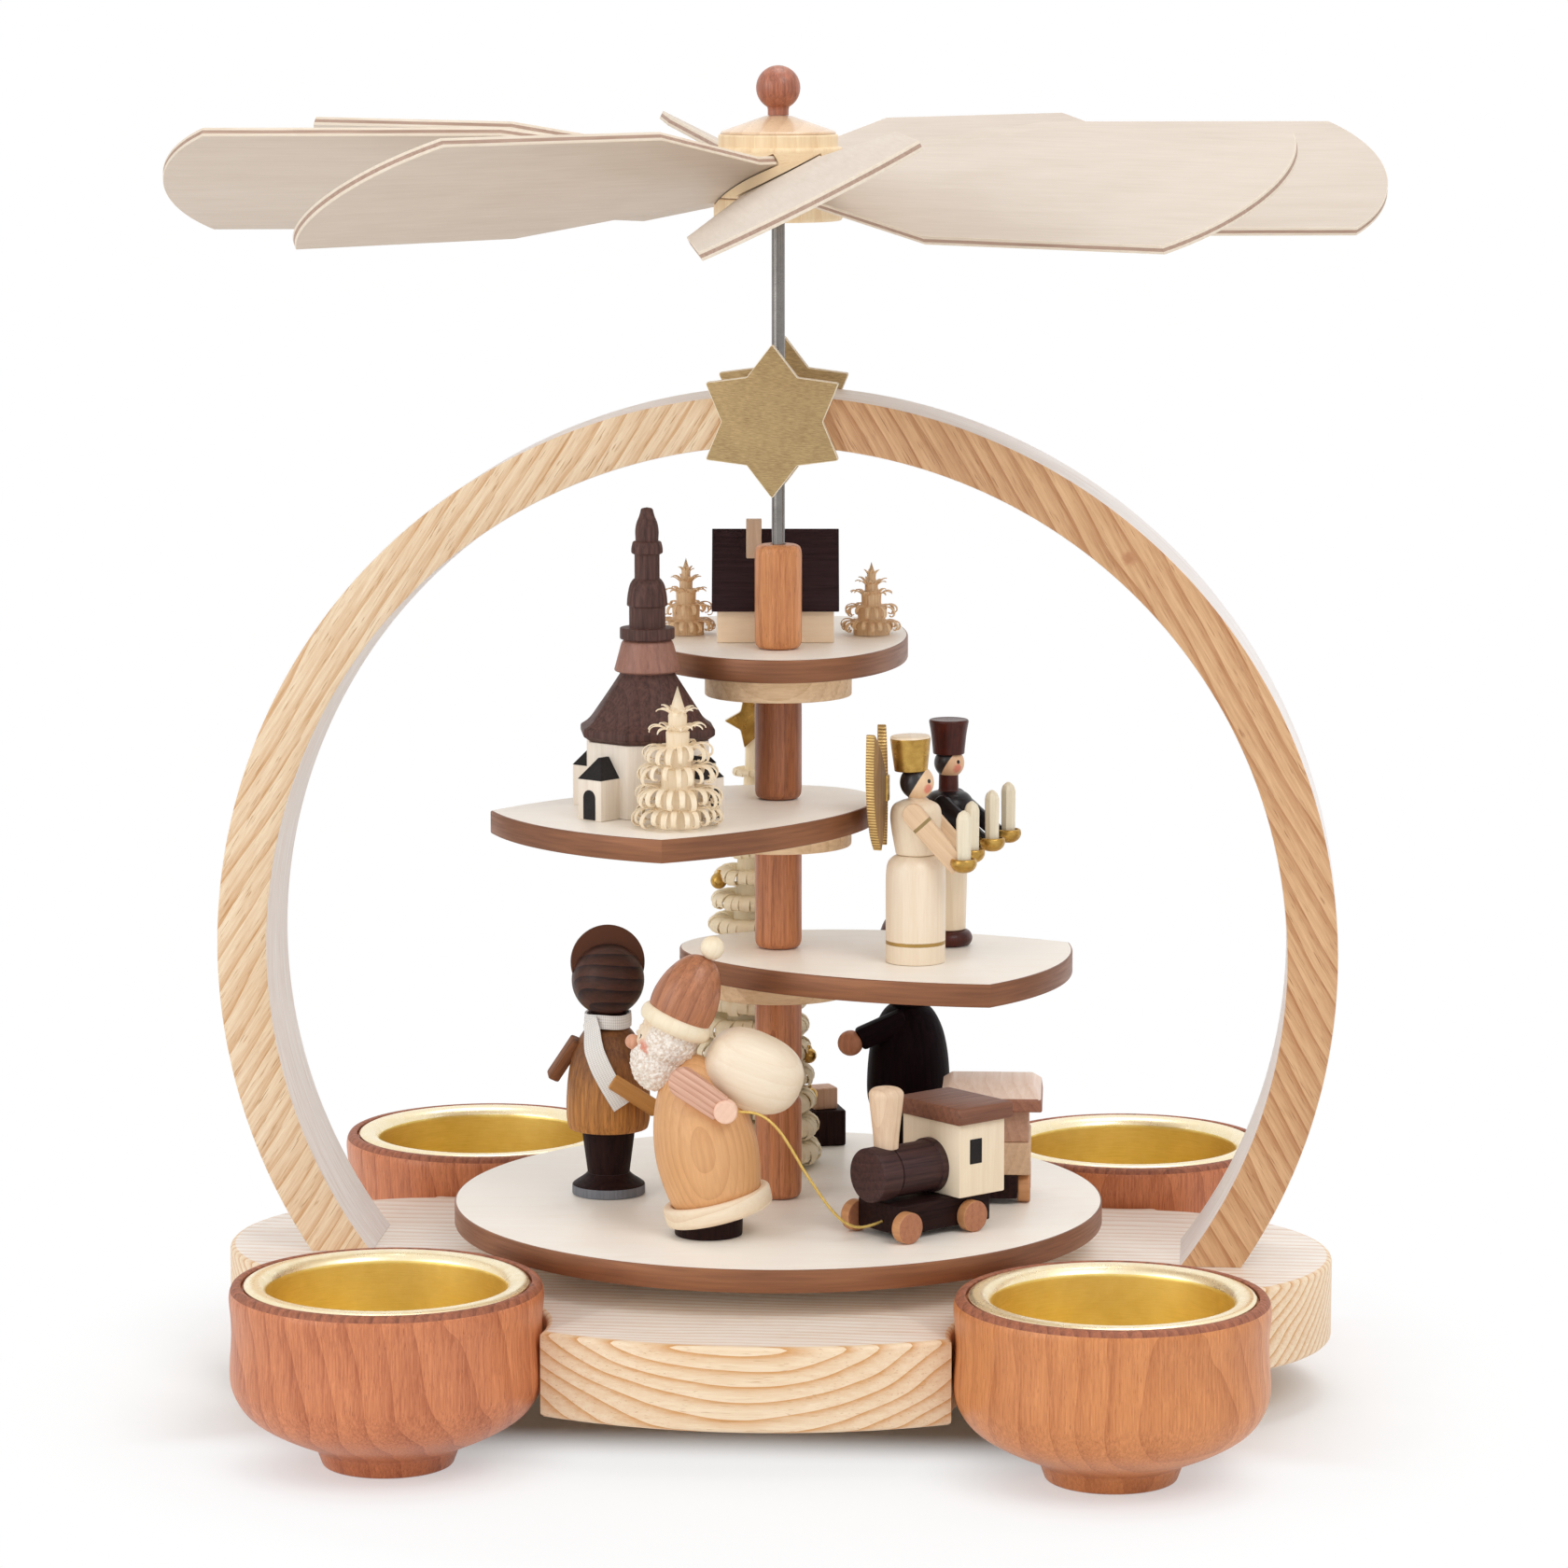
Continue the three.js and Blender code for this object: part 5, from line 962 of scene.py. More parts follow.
def trunk(rows, tip):
    """Stepped core of a shaved tree: (height, radius) rows and the height of its pencil point."""
    path = [(0, 0), (rows[0][1], 0)]
    for (height, radius), above in zip(rows, rows[1:] + [None]):
        path.append((radius, height + 0.05, 0.2))
        if above:
            path.append((above[1] * 0.96, height + 0.3, 0.3))
    last = rows[-1][1]
    return lathe(path + [(last, tip - last * 3.2, 0.3), (0, tip)], 24, steps=2)


def shaved_tree(name, form, look, place):
    for p in form.points:
        p.z = max(p.z, 0.0)
    make(f"{name}_curls", form, look, "rotor", name, "shaving_wood", place, sharp=50)


def curled_tree(name, rows, levels, tip, thickness, look, place):
    """Levels: height, core, reach, count of shavings, bend, width, rise at the start and taper."""
    rng = random.Random(name)
    form = trunk(rows, tip)
    for height, core, reach, count, bend, width, rise, taper in levels:
        form += curls(rng, height, core, reach, count, bend, width, thickness, rise, steps=11, taper=taper,
                      vary=0.14)
    shaved_tree(name, form, look, place)


def small_tree(name, x, y, scale, turn):
    rows = [(2.4, 3.2), (5.0, 2.5), (7.4, 1.8), (9.4, 1.2), (11.0, 0.8)]
    levels = [(2.2, 2.9, 5.4, 18, 255, 0.8, 24, 0.5), (4.9, 2.2, 4.8, 16, 225, 0.75, 26, 0.6),
              (7.1, 1.6, 3.9, 12, 105, 0.75, 40, 0.95), (9.0, 1.1, 2.9, 10, 75, 0.65, 48, 0.95),
              (10.7, 0.6, 1.5, 7, 50, 0.5, 56, 0.95)]
    curled_tree(name, [(z * scale, r) for z, r in rows], [(level[0] * scale, *level[1:]) for level in levels],
                12.9 * scale, 0.15, "small_shaving", on_tier(4, x, y, turn))


def front_tree():
    rows = [(3.0, 3.9), (6.4, 3.4), (9.9, 2.9), (13.4, 2.4), (16.2, 2.0), (19.0, 1.6)]
    levels = [(3.0, 3.4, 7.8, 23, 250, 1.0, 25, 0.35), (6.4, 3.0, 7.5, 22, 245, 1.0, 25, 0.35),
              (10.0, 2.6, 7.0, 20, 235, 0.95, 26, 0.4), (13.5, 2.1, 6.1, 17, 215, 0.95, 28, 0.5),
              (16.6, 1.7, 4.9, 13, 110, 0.9, 36, 0.95), (19.4, 1.2, 3.6, 10, 80, 0.8, 42, 0.95)]
    curled_tree("front_tree", rows, levels, 24.0, 0.18, "shaving", on_tier(3, -16.9, -33.4))


def tall_tree():
    rng = random.Random("tall")
    rings, height, radius = 16, 73.0, 12.0
    pitch = height / rings
    form = lathe([(0, 0), (6.5, 0), (6.3, 4, 1), (2.6, 60, 4), (1.5, 73, 1), (1.4, 80.5), (0, 81)], 24)
    for i in range(rings):
        reach = radius * math.sqrt(1 - i / (rings + 0.6))
        core, count = min(6.0 - 4.2 * i / rings, reach * 0.6), max(16, round(40 * reach / radius))
        width = 2 * math.pi * reach / count * 0.96
        form += curls(rng, (i + 0.72) * pitch, core, reach, count, turn=290, width=width, thickness=0.24,
                      start=38, steps=12, taper=0.2, vary=0.05)
    place = on_tier(1, -4.5, 28.6)
    # The tall tree takes the lighter copy of the shavings, which is painted light.
    shaved_tree("tall_tree", form, "far_shaving", place)
    corners = [(*polar(2.86 if i % 2 else 5.2, 108 + 36 * i), 0.3) for i in range(10)]
    make("tree_star", standing(board(corners, 0.5, 0.1, side_tone=1)), ["gold_lacquer", "star_edge"], "rotor",
         "tall_tree", "gold_star", place @ at(0, -1.45, 81), sharp=25)
    beads = [(1.5, (-6.21, -3.16, 52.24)), (1.4, (9.98, -3.13, 20.3)), (1.4, (-8.2, -4.4, 33.4)),
             (1.3, (5.6, -4.6, 44.5)), (1.4, (10.2, 3.4, 11.8))]
    for k, (size, spot) in enumerate(beads):
        eyelet = [(0, size - 0.1), (0.35, size - 0.1), (0.3, size + 0.5, 0.1), (0, size + 0.5)]
        make(f"tree_ball_{k + 1}", ball(size, 24) + lathe(eyelet, 12), "gold_lacquer", "rotor", "tall_tree",
             "gold_paint", place @ at(*spot), sharp=50)


# Fourth tier: house

HOUSE_HALF_DEPTH, HOUSE_WALL, HOUSE_RISE, HOUSE_HALF_WIDTH = 7.7, 6.9, 10.2, 10.25
EAVE, ROOF_BOARD, ROOF_HALF_WIDTH, ROOF_JOINT = 1.1, 1.3, 11.15, 0.01


def build_house():
    half, wall, ridge = HOUSE_HALF_DEPTH, HOUSE_WALL, HOUSE_WALL + HOUSE_RISE
    place, slope = on_tier(4, -0.5, 15.6), math.atan2(HOUSE_RISE, half)
    gable = [(-half, 0, 0.15), (half, 0, 0.15), (half, wall, 0.1), (0, ridge, 0.1), (-half, wall, 0.1)]
    body = standing(board(gable, HOUSE_HALF_WIDTH, 0.15), sideways=True).grained().grained(GRAIN_ALONG_X)
    make("house_block", body, "wall_wood", "rotor", "house_walls", "light_wood", place)
    lift, thick, drop = GLUE / math.cos(slope), ROOF_BOARD / math.cos(slope), EAVE * math.tan(slope)
    for name, side in (("front", -1), ("rear", 1)):
        shape = [(ROOF_JOINT, ridge + lift), (half + EAVE, wall - drop + lift, 0.15),
                 (half + EAVE, wall - drop + lift + thick, 0.2), (ROOF_JOINT, ridge + lift + thick, 0.05)]
        shape = anticlockwise([(x * side, z, *rest) for x, z, *rest in (shape if side < 0 else shape[::-1])])
        roof = standing(board(shape, ROOF_HALF_WIDTH, 0.15), sideways=True).grained().grained(GRAIN_ALONG_X)
        make(f"house_roof_{name}", roof, "wenge", "rotor", "house_roof", "dark_stain", place)
    top = ridge + thick + 2
    foot = [(-y, ridge - y * math.tan(slope) + thick + 3 * lift) for y in (3.8, 1.2)]
    stack = standing(board([*foot, (-1.2, top, 0.2), (-3.8, top, 0.2)], 1.35, 0.12), sideways=True)
    stack.moved(at(-3.8)).grained()
    make("house_chimney_block", stack, "chimney_wood", "rotor", "house_chimney", "light_wood", place)


# Third tier: church

CHURCH, ROOF_LOW, BELL_LOW = (3, -22.4, -15), 12.65, 24.05


def build_church():
    place = on_tier(*CHURCH, 230)
    corners = [(x, y, 0.25) for x, y in arc(11.1, 22.5, 337.5, 7)]
    octagon = prism(soften(corners, closed=True, steps=2), 0, 12.6, 0.15)
    make("church_octagon", octagon, "church_wall", "rotor", "church_walls", "light_wood", place)
    hip = Form([(15.0, -2.65, 7.0), (15.0, 2.65, 7.0), (8.0, 2.65, 7.0), (8.0, -2.65, 7.0),
                (12.4, -0.25, 10.5), (12.4, 0.25, 10.5), (9.0, 0.25, 10.5), (9.0, -0.25, 10.5)],
               bands(4, 2) + caps(4, 2))
    door = prism(arc(1.35, 0, 180, 12, (0, 3.9)) + [(-1.35, 0.15), (1.35, 0.15)], -0.04, 0.04)
    door = standing(door, sideways=True).moved(at(15.03))
    for i in range(4):
        porch = Kit(place @ at(turn=90 * i), "church_walls", "dark_stain", "church_")
        walls = block(6.0, 5.3, 7.0, 0.12).moved(at(12.0))
        porch.add(f"porch_{i + 1}", walls, "church_wall", slot="light_wood")
        porch.add(f"porch_roof_{i + 1}", hip, "black_paint", sharp=20)
        porch.add(f"door_{i + 1}", door, "black_paint", sharp=20)
    low, top = ROOF_LOW, BELL_LOW
    path = [(0, low), (10.8, low), (12.2, low + 0.9, 0.3), (12.2, low + 2.0, 0.3), (10.6, low + 3.0, 1.2),
            (4.75, top - 0.3, 0.3, 0), (4.7, top, 0.05, 1), (5.75, top + 0.3, 0.4, 1),
            (5.3, top + 1.9, 1.2, 1), (4.4, top + 5.3, 0.7, 1), (3.9, top + 5.6, 0.1)]
    path += [(r, top + z, reach) for z, r, reach in (
        (5.8, 4.7, 0.2), (7.7, 4.7, 0.2), (7.8, 3.1, 0.1), (11.3, 3.1, 0.1), (11.5, 3.5, 0.2), (13.2, 3.4, 1),
        (15.1, 3.0, 0.6), (16.0, 2.4, 0.3), (16.1, 2.15, 0.1), (20.2, 2.15, 0.1), (20.5, 2.7, 0.2),
        (21.3, 2.7, 0.3), (22.4, 2.45, 0.2), (22.6, 1.95, 0.1), (24.2, 2.05, 0.6), (25.6, 1.85, 0.8),
        (26.8, 1.3, 0.6), (28.1, 1.0, 0.3), (28.3, 0, 0))]
    roof = lathe(path, 128)
    for p in roof.points:
        flatness = min(1.0, max(0.0, (low + 8.5 - p.z) / 5.5))
        a = (math.atan2(p.y, p.x) - math.radians(27.5)) % (math.pi / 4) - math.pi / 8
        p.xy = p.xy * (1 + flatness * (math.cos(math.pi / 8) / math.cos(a) - 1))
    make("church_roof_turned", roof, ["stained_beech", "bell_wood"], "rotor", "church_roof", "dark_stain",
         on_tier(*CHURCH), sharp=24)


# Second tier: angel and miner

SIDES = ((-1, "right"), (1, "left"))
ANGEL_PLACE = on_tier(2, 23.7, -14.2, 351)


def held_candle(kit, word, spot):
    dish = [(0, 0), (1.0, 0, 0.3), (1.9, 0.5, 0.6), (2.35, 1.45, 0.4), (2.2, 2.3, 0.2), (1.85, 2.4, 0.1),
            (1.7, 1.7, 0.3), (1.35, 1.6), (0, 1.6)]
    stick = [(0, 1.5), (1.25, 1.5), (1.3, 9.2, 0.2), (1.0, 10.1, 0.3), (0.25, 10.7, 0.15), (0, 10.7)]
    kit.turned(f"candle_{word}_dish", dish, "gold_lacquer", at(*spot), "gold_paint", 32)
    kit.turned(f"candle_{word}_stick", stick, "candle_wood", at(*spot), "light_wood", 8, sharp=25)


def doll_head(name, skin, hair, radius, slant):
    """A painted ball that faces +X: hair behind a slanted line, and an eye and a pink cheek on each side."""
    def spots(angle, height, share, **look):
        return [{"at": Vector((*polar(1, side * angle), height)).normalized() * radius,
                 "radius": radius * share, **look} for side, _ in SIDES]

    hairline = {"at": (radius * 0.08, 0, 0.0), "along": Vector((-1, 0, slant)).normalized(), "soft": 0.12,
                "colour": hair, "rough": 0.3}
    marks = [*spots(38, -0.32, 0.3, soft=0.7, colour=(222, 132, 108), rough=0.45), hairline,
             *spots(36, 0.16, 0.13, soft=0.06, colour=(28, 24, 26), rough=0.25)]
    return wood(name, skin, [c * 0.9 for c in skin], 0.8, 0.2, 0.3, 0.42, relief=0.1, marks=marks)


def arm(kit, word, side, start, end, wide, thick, look):
    """A slab arm with a round shoulder; its own Z runs down the arm."""
    start, end = (Vector((x, side * y, z)) for x, y, z in (start, end))
    half, length = wide / 2, (end - start).length
    wrist = half * 0.86
    outline = soften([(-half, 0), (-wrist, length, 0.3), (wrist, length, 0.3), (half, 0)], steps=3)
    outline = anticlockwise(outline[::-1] + [(x, y, 0) for x, y in arc(half, 180, 360, 14)[1:-1]])
    slab = standing(prism(outline, -thick / 2, thick / 2, 0.3, steps=2)).grained()
    kit.add(f"arm_{word}", slab, look, along(start, end))


def build_angel():
    kit = Kit(ANGEL_PLACE, "angel", "light_wood", "angel_")
    band = {"at": (0, 0, 3.5), "along": (0, 0, 1), "half": 0.32, "soft": 0.1, "colour": (176, 142, 78),
            "rough": 0.35, "metal": 0.8}
    cuff = {"at": (0, 0, 2.3), "along": (0, 0.12, 1), "half": 0.3, "soft": 0.12, "colour": (150, 126, 84),
            "rough": 0.35, "metal": 0.7}
    gown = wood("angel_gown", (248, 232, 208), (228, 200, 168), 2.4, 0.14, 0.4, 0.38, relief=0.15, coat=0.2,
                marks=[band])
    sleeve = wood("angel_sleeve", (236, 204, 168), (208, 170, 132), 1.4, 0.35, 0.5, 0.45, marks=[cuff])
    skin = doll_head("angel_skin", (240, 204, 164), (36, 30, 32), 2.95, 0.62)
    skirt = [(0, 0), (5.15, 0, 0.2), (5.2, 15.4, 3.0), (4.9, 17.6, 1.6), (3.3, 18.7, 0.6), (0, 18.75)]
    bust = [(0, 18.7), (3.45, 18.75, 0.3), (3.8, 20.6, 1.4), (4.3, 23.4, 1.6), (4.5, 25.6, 1.4),
            (4.1, 27.3, 1.2), (2.4, 28.1, 0.6), (1.4, 28.3, 0.3), (1.3, 28.9), (0, 28.9)]
    crown = [(0, 33.2), (2.85, 33.2, 0.15), (2.9, 33.8, 0.3), (3.25, 36.7, 1), (3.5, 38.9, 0.2, 1),
             (3.3, 39.3, 0.2, 1), (0, 39.35)]
    kit.turned("skirt", skirt, gown)
    kit.turned("bust", bust, "figure_cream")
    kit.add("head", ball(2.95, 48), skin, at(0.15, 0, 31.2), seed=3)
    kit.turned("crown", crown, ["gold_lacquer", "figure_cream"], tilt(-1.5), "gold_paint")
    for side, word in SIDES:
        arm(kit, word, side, (0.2, 4.55, 26.2), (8.3, 5.5, 17.3), 3.8, 1.5, sleeve)
        held_candle(kit, word, (9, side * 5.6, 16.6))


def build_wings():
    kit = Kit(ANGEL_PLACE, "angel_wings", "gold_paint", "wing_")
    tip, notch = 2, 6
    outline = [(0.2, 8.9), (1.6, 3.6), (3.2, 0.2), (5.2, 2.6), (6.9, 7.4), (7.6, 13.0), (7.2, 21.0),
               (6.0, 20.4), (3.2, 17.6), (1.4, 14.6), (0.2, 12.7)]
    outline = [(x, z, 0.4 if i in (tip, notch) else 1.6) for i, (x, z) in enumerate(outline)]
    for side, word in SIDES[::-1]:
        plate = standing(board(outline, 0.75, 0.15, steps=4, side_tone=1), sideways=True)
        plate.moved(Matrix.Diagonal((1, side, 1, 1))).grained()
        kit.add(word, plate, ["wing_face", "wing"], at(-5.6, 0, 19.3, 11 * side), sharp=28)
    kit.add("spine", block(1.5, 2.2, 4.6, 0.3, bottom=8.5), "gold_lacquer", at(-5.4, 0, 19.3))


def build_miner():
    kit = Kit(on_tier(2, 29.8, 2.9, 342), "miner", "dark_stain", "miner_")
    shoes = [(0, 0), (3.9, 0, 0.6), (4.45, 1.2, 1.0), (3.9, 2.4, 0.8), (3.0, 2.75, 0.3), (0, 2.8)]
    jacket = [(0, 15.6), (3.95, 15.65, 0.4), (4.2, 18.6, 2), (4.7, 22.8, 2), (4.5, 25.4, 1.4),
              (3.4, 26.9, 0.9), (2.0, 27.3, 0.1, 1), (1.75, 27.5, 0.2, 1), (1.7, 30.2, 0, 1), (0, 30.2)]
    hat = [(0, 33.8), (2.75, 33.8, 0.2), (2.8, 34.5, 0.4), (3.1, 37.4, 1), (3.5, 39.6, 0.2), (3.3, 39.9, 0.2),
           (3.0, 39.8, 0.1), (0, 39.7)]
    flap = [(-1.9, 0, 0.6), (1.9, 0, 0.6), (1.5, 6.6, 0.3), (-1.5, 6.6, 0.3)]
    flap = board(flap, 0.3, 0.12, steps=3, rim_steps=3)
    kit.turned("shoes", shoes, "hat_paint", facets=48)
    kit.turned("trousers", [(0, 2.8), (3.1, 2.8, 0.2), (3.4, 15.55, 0.2), (0, 15.6)], "figure_cream", None,
               "light_wood", 48)
    kit.turned("jacket", jacket, ["jacket_paint", "hat_paint"], facets=48)
    kit.add("apron", standing(flap, sideways=True).moved(at(-3.75, 0, 9.4)), "jacket_paint")
    kit.add("head", ball(2.65, 48), doll_head("miner_skin", (232, 188, 148), (34, 28, 30), 2.65, 0.62),
            at(0.1, 0, 32.2), "light_wood", seed=5)
    kit.turned("hat", hat, "hat_paint", facets=48)
    for side, word in SIDES:
        arm(kit, word, side, (0.3, 4.5, 25.6), (8.7, 5.1, 18.5), 2.9, 1.5, "jacket_paint")
        held_candle(kit, word, (9.4, side * 5.2, 17.8))


# First tier: gift bearer, child, dark figure

def rough_ball(radius, scale, amount, pitch, seed):
    """A ball whose surface is close-curled wool."""
    form = ball(radius, 112)
    for p in form.points:
        coarse = noise.noise(p * pitch + Vector((seed, 0, 0)))
        fine = noise.noise(p * pitch * 2.1 + Vector((0, seed, 0)))
        p *= 1 + amount * (coarse + 0.6 * fine) / radius
    return form.moved(Matrix.Diagonal((*scale, 1)))


def bearer_face():
    paired = [(-4.3, 3.1, -0.7, 1.3, 1.1, (232, 160, 138)), (-4.55, 2.5, 1.2, 0.42, 0.1, (30, 26, 26))]
    skin = {"at": (-5.6, 0, 3.4), "radius": 4.6, "soft": 1.0, "colour": (246, 226, 200)}
    return [skin] + [{"at": (x, side * y, z), "radius": radius, "soft": soft, "colour": colour}
                     for x, y, z, radius, soft, colour in paired for side, _ in SIDES]


def sack_form(half_long=8.9, half_round=6.9):
    """An egg with flatter sides, blunter than a ball."""
    sack = ball(half_round, 72, (half_long / half_round, 1, 1))
    for p in sack.points:
        share = [abs(v) / size for v, size in zip(p, (half_long, half_round, half_round))]
        length = math.sqrt(sum(v * v for v in share))
        p *= 0.97 * length / max(sum(v ** 2.5 for v in share) ** (1 / 2.5), 0.01)
        p.y *= 1 - 0.05 * p.x / half_long
        p.z *= 1 - 0.05 * p.x / half_long
    return sack.grained().grained(GRAIN_ALONG_X)


def build_bearer():
    place = on_tier(1, -11.9, -29.6)
    kit = Kit(place, "gift_bearer", "figure_wood", "bearer_")
    coat = [(0, 0), (7.4, 0, 0.5), (8.2, 2.4, 2), (8.9, 7.5, 3), (8.75, 11.5, 3), (7.9, 16.2, 3.5),
            (6.4, 20.4, 3), (4.3, 23.6, 2), (1.8, 25.6, 1.5), (0, 25.9)]
    hem = lathe([(7.6, -1.75, 0.8), (9.3, -1.75, 0.9), (9.4, 1.75, 0.9), (7.6, 1.75, 0.8)], 96, ring=True)
    hem += lathe([(0, -1.5), (8, -1.5), (8, 1.0), (0, 1.0)], 64)
    brim = [(0, -1.6), (5.2, -1.6, 0.8), (6.2, -1.0, 0.9), (6.4, 0.3, 0.9), (5.7, 1.55, 0.9), (0, 1.6)]
    hat = [(0, 0.6), (5.35, 0.7, 0.3), (5.75, 2.6, 1.5), (5.7, 4.6, 2), (5.1, 7.4, 2), (3.9, 10.0, 2),
           (2.3, 11.9, 1.2), (0, 12.4)]
    hand = [(0, -1.5), (1.95, -1.5, 0.3), (2.15, 0.2, 0.4), (1.95, 1.5, 0.3), (0, 1.5)]
    head = curly("bearer_curls", (255, 248, 238), (226, 206, 188), bearer_face())
    beard = curly("beard_curls", (255, 249, 240), (230, 211, 195))
    top = at(-5.5, 0, 36.8) @ tilt(24)
    kit.turned("foot", [(0, 0), (5.8, 0, 0.2), (5.9, 3.6, 0.3), (5.7, 4.4), (0, 4.4)], "dark_stain")
    kit.turned("coat", coat, "bearer_coat", at(1.4, 0, 5.8) @ tilt(-11), facets=96, spin=0)
    kit.add("hem", hem.grained(GRAIN_ALONG_X), "bearer_hem", at(1.6, 0, 5.1) @ tilt(-13.6), seed=2)
    kit.add("head", rough_ball(5.15, (1, 1, 1), 0.34, 1.5, 3), head, at(-7, 0, 33.6), sharp=180)
    kit.add("beard", rough_ball(4.35, (1.05, 0.95, 1.15), 0.4, 1.6, 8), beard, at(-8.7, 0, 30), sharp=180)
    kit.add("nose", ball(1.3, 32), "nose_wood", at(-12.85, 0, 33.4))
    kit.turned("brim", brim, "bearer_brim", top)
    kit.turned("hat", hat, "bearer_hat", top, seed=9)
    kit.add("pom", ball(2.05, 32), "bearer_brim", top @ at(0.5, 0, 14.2))
    for side, word in SIDES:
        arm(kit, word, side, (-4.1, 7.9, 27.9), (2.3, 7.9, 23.3), 5.1, 2.4, "bearer_sleeve")
    kit.turned("hand", hand, "hand_wood", at(3, -8.2, 23) @ tilt(90, "X"), facets=40)
    make("bearer_sack", sack_form(), "bearer_sack", "rotor", "gift_sack", "light_wood",
         place @ at(7.7, 0, 28.2) @ tilt(22), seed=6)


CHIN, HEAD_SINK = 32.4, 0.93
COAT_ROWS = [(11.7, 0.93, 0.3), (13.2, 0.985, 1.4), (15.4, 1, 2), (19, 0.98, 3), (22.3, 0.93, 2, 1),
             (25.9, 0.82, 3, 1), (28.8, 0.62, 1.8, 1)]


def standing_body(kit, foot, coat, looks):
    foot_look, rim_look, leg_look, coat_look, top_look = looks
    kit.turned("foot", [(0, 0), (foot, 0, 0.2), (foot, 1.7, 0.3, 1), (foot * 0.94, 2.0, 0.3, 1),
                        (foot * 0.66, 3.2, 0.8, 1), (foot * 0.58, 3.8), (0, 3.8)], [rim_look, foot_look])
    kit.turned("legs", [(0, 3.6), (foot * 0.57, 3.6, 0.2), (coat * 0.64, 11.9), (0, 11.9)], leg_look)
    rows = [(share * coat, z, *rest) for z, share, *rest in COAT_ROWS]
    kit.turned("coat", [(0, 11.7), *rows, (3.4, 29.95, 0.5, 1), (0, 30)], [coat_look, top_look], facets=80)
    kit.turned("neck", [(0, 29.9), (3.3, 29.9, 0.2), (3.3, 32.5), (0, 32.6)], leg_look, facets=48)


def build_child():
    kit = Kit(on_tier(1, -30, 3.2, 100), "child_figure", "figure_wood", "child_")
    size = 6.1
    centre = CHIN + HEAD_SINK * size
    standing_body(kit, 6.45, 7.45, ("dark_stain", "slate_rim", "dark_stain", "child_coat", "child_coat"))
    kit.add("face", ball(6.0, 48), doll_head("child_skin", (226, 178, 134), (70, 46, 36), size, 0.25),
            at(0.35, 0, centre))
    swap = Matrix(((1, 0, 0, 0), (0, 0, 1, 0), (0, 1, 0, 0), (0, 0, 0, 1)))
    kit.add("hair", ball(6.4, 80).grained(swap), "child_hair", at(-0.2, 0, centre + 0.2),
            cuts=[box((2.2, -12, -12), (12, 12, 12))])
    kit.add("cap", ball(6.55, 72).grained(swap), "child_cap", at(0.1, 0, centre + 3.3),
            cuts=[box((-12, -12, -12), (-0.4, 12, 12)).moved(tilt(8))])
    kit.add("sleeve_left", bar((0.4, 5.4, 27.6), (3.4, 9.5, 20.4), 2.6, 2.2), "child_arm")
    kit.add("sleeve_right", bar((-6.9, 0.4, 21.4), (-8.1, -7.5, 16.2), 2.4, 2.9), "tan_arm")
    build_scarf(Kit(kit.place, kit.node, kit.slot, "scarf_"))


def build_scarf(kit):
    """A silver ribbon round the neck, whose end hangs down the back, across to the right."""
    points, stock, count = [], [], 48
    for a in (2 * math.pi * i / count for i in range(count)):
        for radius, dz in ((3.75, -1.25), (4.15, -1.2), (4.2, 0), (4.1, 1.25), (3.7, 1.2), (3.45, 0)):
            points.append((radius * math.cos(a), radius * math.sin(a), 31.2 + 0.12 * math.sin(3 * a) + dz))
            stock.append(Vector((dz, 0, a * 4)))
    kit.add("collar", Form(points, bands(6, count, closed=True), None, stock), "weave")
    points, stock, rows, half, thick = [], [], 26, 1.75, 0.3
    for t in (i / rows for i in range(rows + 1)):
        height, turn = 31.6 - 14.6 * t, math.radians(128 + 62 * t)
        radius = coat_reach(height) + 0.32 + 0.1 * math.sin(9 * t)
        for u, depth in ((-half, 0), (half, 0), (half, thick), (-half, thick)):
            spin, drop = turn + (u * 0.86) / radius, u * 0.5
            r = max(radius, coat_reach(height + drop) + 0.3) + depth
            points.append((r * math.cos(spin), r * math.sin(spin), height + drop))
            stock.append(Vector((u, depth, t * 18)))
    kit.add("tail", Form(points, bands(4, rows + 1) + caps(4, rows + 1), None, stock), "weave", sharp=60)


def coat_reach(height):
    """The child's coat, as far out as it goes at a height."""
    rows = [(11.7, 6.9), (13.2, 7.35), (15.4, 7.45), (19, 7.3), (22.3, 6.9), (25.9, 6.05), (28.8, 4.6),
            (29.9, 4.3), (33, 4.3)]
    for (z0, r0), (z1, r1) in zip(rows, rows[1:]):
        if height <= z1:
            return r0 + (r1 - r0) * max(0.0, (height - z0) / (z1 - z0))
    return 4.3


def build_dark_figure():
    kit = Kit(on_tier(1, 23.4, 24.2, 185), "dark_figure", "dark_stain", "dark_")
    coal, size = "coal_stain", 5.3
    centre = CHIN + HEAD_SINK * size
    low = centre + 1.2
    rise = 48 - low
    standing_body(kit, 6.2, 7.5, [coal] * 5)
    skin = doll_head("dark_skin", (214, 168, 126), (40, 28, 28), size, 0.3)
    kit.add("face", ball(size, 48), skin, at(0, 0, centre))
    kit.turned("cap", [(0, 0), (5.4, 0, 0.5), (5.75, 0.8, 0.7), (5.6, 2.6, 1.4), (4.9, rise * 0.62, 1.6),
                       (3.2, rise * 0.88, 1.4), (0, rise)], "red_cap", at(0, 0, low))
    kit.add("arm_front", bar((1, 3.75, 28), (9.4, 4.1, 24.4), 4.2, 3, 0.7), coal)
    kit.add("hand", ball(2.3, 40), "brown_hand", at(10.9, 4.1, 23.8))
    kit.add("arm_side", bar((0.6, -5.4, 27.6), (5, -8.2, 20.6), 2.8, 2.4, 0.5), coal)


